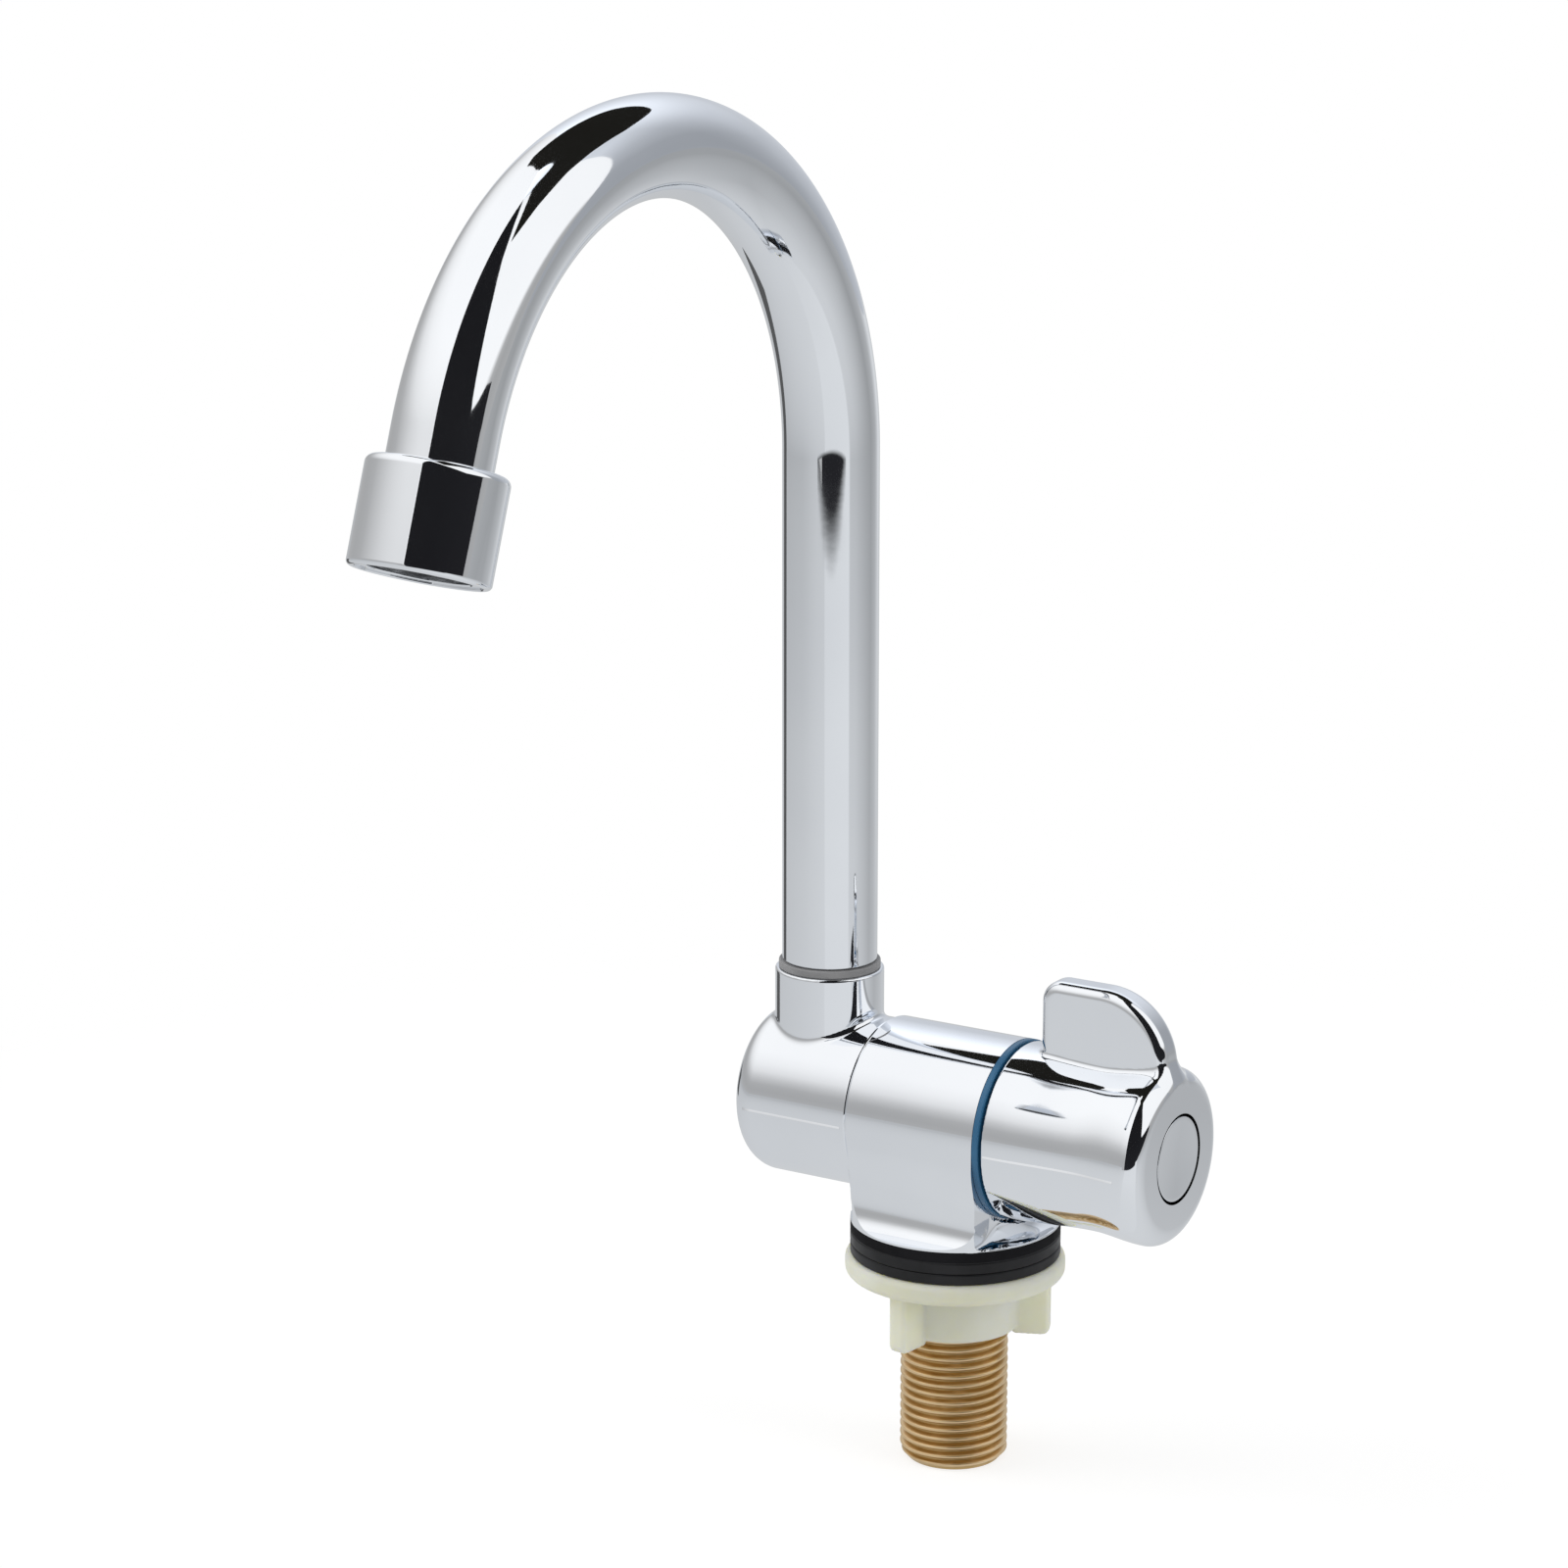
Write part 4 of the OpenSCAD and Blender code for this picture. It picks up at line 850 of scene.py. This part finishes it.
def domeCard(name, radius, edges, stops, tint=(1, 1, 1), gain=None, rowsUp=28, ceiling=False):
    # edges are (azimuth, lowest, highest) in degrees, azimuth 0 along +X and -90 towards the front
    # stops grade the glow by elevation, gain scales it by azimuth; a ceiling lies flat above the neck
    table, grade = np.array(edges, float), np.array(stops, float)
    spread = np.linspace(table[0, 0], table[-1, 0], max(8, int((table[-1, 0] - table[0, 0]) / 2)))
    low, high = np.interp(spread, table[:, 0], table[:, 1]), np.interp(spread, table[:, 0], table[:, 2])
    boost = np.ones(len(spread)) if gain is None else np.interp(spread, *np.array(gain, float).T)
    centre = np.array(studio["aboveNeck" if ceiling else "centre"])
    verts, tones = [], []
    for i, a in enumerate(np.radians(spread)):
        for k in range(rowsUp + 1):
            up = low[i] + (high[i] - low[i]) * k / rowsUp
            e = math.radians(up)
            far = radius / math.sin(e) if ceiling else radius
            toward = np.array([math.cos(a) * math.cos(e), math.sin(a) * math.cos(e), math.sin(e)])
            verts.append(centre + far * toward)
            tones.append(np.interp(up, grade[:, 0], grade[:, 1]) * boost[i])
    mirrorCard(name, verts, rowsUp + 1, tones, tint)


darkRoom = [(-25, 0.020), (20, 0.012), (88, 0.010)]
domeCard("leftSweep", 3200, [(138, -16, 90), (280, -16, 90)],
         [(-16, 0.50), (-6, 0.45), (4, 0.41), (11, 0.45), (18, 0.60), (26, 0.82), (35, 0.95), (46, 1.02)])
domeCard("rightBox", 3200, [(-82, -16, 90), (44, -16, 90)],
         [(-16, 0.52), (-4, 0.42), (5, 0.38), (8, 0.5), (10, 1.0)])
domeCard("backSweep", 3200, [(44, -16, 90), (138, -16, 90)],
         [(-16, 0.44), (0, 0.38), (14, 0.39), (28, 0.5), (45, 0.72)],
         tint=(0.95, 0.99, 1.06), gain=[(44, 1.0), (60, 0.95), (80, 1.3), (110, 1.6), (138, 1.75)])
domeCard("frontFlag", 2900,
         [(-80, -20, 90), (-30, -20, 90), (-27, -18, 62), (-20, -8, 45), (-14, -3, 28), (-9, -2, 14),
          (12, -1, 9), (21, 1, 5)],
         darkRoom, tint=(1.0, 1.0, 1.15))
domeCard("roofFlag", 350,
         [(-30, 60, 88), (0, 62, 88), (30, 60, 88), (46, 54, 88), (62, 45, 86), (90, 39.5, 80),
          (120, 39, 78), (150, 43, 76), (156, 50, 70)],
         darkRoom, tint=(1.1, 1.05, 0.9), ceiling=True)

# the floor as the chrome sees it: graded by direction, and cut short in front where the dark room begins
floorNear = [(-180, 0.60), (-130, 0.64), (-93, 0.67), (-76, 0.69), (-74, 0.74), (-16, 0.75), (-13, 0.66),
             (2, 0.65), (30, 0.56), (52, 0.46), (90, 0.57), (180, 0.60)]
floorFar = [(-180, 0.45), (-130, 0.48), (-93, 0.58), (-76, 0.60), (-74, 0.71), (-16, 0.76), (-13, 0.53),
            (2, 0.50), (30, 0.40), (52, 0.35), (72, 0.45), (90, 0.74), (120, 0.55), (180, 0.45)]
rings = np.array([0, 0.02, 0.04, 0.07, 0.10, 0.14, 0.19, 0.25, 0.32, 0.42, 0.55, 0.75, 0.88, 1.0])
verts, tones = [], []
for degree in np.arange(-180, 181, 2.0):
    aside, angle = abs(degree - studio["frontMiddle"]), math.radians(degree)
    inFront = aside < studio["frontHalf"]
    reach = studio["frontEdge"] / math.cos(math.radians(aside)) if inFront else studio["floorReach"]
    nearTone, farTone = np.interp(degree, *np.array(floorNear).T), np.interp(degree, *np.array(floorFar).T)
    for r in rings * reach:
        verts.append((r * math.cos(angle), r * math.sin(angle), studio["floor"]))
        away = np.clip((r - studio["nearTo"]) / studio["farOver"], 0, 1)
        tone = nearTone * (1 - away) + farTone * away
        tone = studio["nearFloor"] + (tone - studio["nearFloor"]) * min(r / studio["nearTo"], 1)
        tones.append(studio["frontTone"] if r == reach and inFront else tone)
mirrorCard("floorSheen", verts, len(rings), tones, (0.98, 1.0, 1.02))
# a dark corner behind on the left
corner = {"sides": (155.0, 172.0), "reach": (300.0, 1150.0), "lift": 0.6, "tone": 0.1}
cornerVerts = [(r * math.cos(a), r * math.sin(a), studio["floor"] + corner["lift"])
               for a in np.radians(corner["sides"]) for r in corner["reach"]]
mirrorCard("darkCorner", cornerVerts, 2, [corner["tone"]] * 4, (1, 1, 1))

# the floor that is seen: it takes the shadow, and fades to white away from the tap
floorMat = bpy.data.materials.new("paleFloor")
floorMat.use_nodes = True
nodes, links = floorMat.node_tree.nodes, floorMat.node_tree.links
nodes.clear()
out = nodes.new("ShaderNodeOutputMaterial")
matte = nodes.new("ShaderNodeBsdfDiffuse")
matte.inputs["Color"].default_value = (studio["floorTone"],) * 3 + (1,)
glow = nodes.new("ShaderNodeEmission")
white = nodes.new("ShaderNodeEmission")
rays = nodes.new("ShaderNodeLightPath")
bounce = operation(nodes, "ShaderNodeMath", "MULTIPLY")
bounce.inputs[1].default_value = studio["floorBounce"]
lift = operation(nodes, "ShaderNodeMath", "MULTIPLY_ADD")
lift.inputs[1].default_value = studio["seenFloor"] - studio["floorTone"]
links.new(rays.outputs["Is Diffuse Ray"], bounce.inputs[0])
links.new(rays.outputs["Is Camera Ray"], lift.inputs[0])
links.new(bounce.outputs[0], lift.inputs[2])
links.new(lift.outputs[0], glow.inputs["Strength"])
both = nodes.new("ShaderNodeAddShader")
links.new(matte.outputs[0], both.inputs[0])
links.new(glow.outputs[0], both.inputs[1])
where = nodes.new("ShaderNodeTexCoord")
reach = operation(nodes, "ShaderNodeVectorMath", "LENGTH")
links.new(where.outputs["Object"], reach.inputs[0])
fade = nodes.new("ShaderNodeMapRange")
fade.inputs["From Min"].default_value, fade.inputs["From Max"].default_value = studio["fade"]
links.new(reach.outputs["Value"], fade.inputs["Value"])
far = operation(nodes, "ShaderNodeMath", "MULTIPLY")
links.new(fade.outputs["Result"], far.inputs[0])
links.new(rays.outputs["Is Camera Ray"], far.inputs[1])
mix = nodes.new("ShaderNodeMixShader")
links.new(far.outputs[0], mix.inputs["Fac"])
links.new(both.outputs[0], mix.inputs[1])
links.new(white.outputs[0], mix.inputs[2])
links.new(mix.outputs[0], out.inputs["Surface"])
rim = [(studio["floorReach"] * math.cos(a), studio["floorReach"] * math.sin(a), studio["floor"])
       for a in np.radians(np.arange(0, 360, 4.0))]
floor = stageMesh("floor", [(0, 0, studio["floor"])] + rim,
                  [(0, k + 1, (k + 1) % len(rim) + 1) for k in range(len(rim))], floorMat)
floor.visible_glossy = False

world = bpy.data.worlds.new("studioWorld")
bpy.context.scene.world = world
world.use_nodes = True
nodes, links = world.node_tree.nodes, world.node_tree.links
sky = nodes["Background"]
sky.inputs["Color"].default_value = (1, 1, 1, 1)
rays = nodes.new("ShaderNodeLightPath")
seen = operation(nodes, "ShaderNodeMath", "MAXIMUM")
links.new(rays.outputs["Is Camera Ray"], seen.inputs[0])
links.new(rays.outputs["Is Glossy Ray"], seen.inputs[1])
seenToo = operation(nodes, "ShaderNodeMath", "MAXIMUM")
links.new(seen.outputs[0], seenToo.inputs[0])
links.new(rays.outputs["Is Transmission Ray"], seenToo.inputs[1])
power = nodes.new("ShaderNodeMapRange")
power.inputs["To Min"].default_value = studio["worldFill"]
power.inputs["To Max"].default_value = 1.0
links.new(seenToo.outputs[0], power.inputs["Value"])
links.new(power.outputs["Result"], sky.inputs["Strength"])


def softBox(name, power, spot, wide, high):
    data = bpy.data.lights.new(name, "AREA")
    data.shape = "RECTANGLE"
    data.size, data.size_y = wide, high
    data.energy = power
    lamp = bpy.data.objects.new(name, data)
    bpy.context.scene.collection.objects.link(lamp)
    lamp.location = spot
    lamp.rotation_euler = (Vector(studio["lampAim"]) - Vector(spot)).to_track_quat("-Z", "Y").to_euler()
    lamp.visible_camera = lamp.visible_glossy = False


softBox("leftBox", studio["leftPower"], (-1.1, -0.55, 0.75), 1.0, 1.3)
softBox("rightBox", studio["rightPower"], (1.15, 0.1, 0.6), 0.8, 1.0)
bpy.context.scene.view_settings.view_transform = "Standard"
print("stage set")
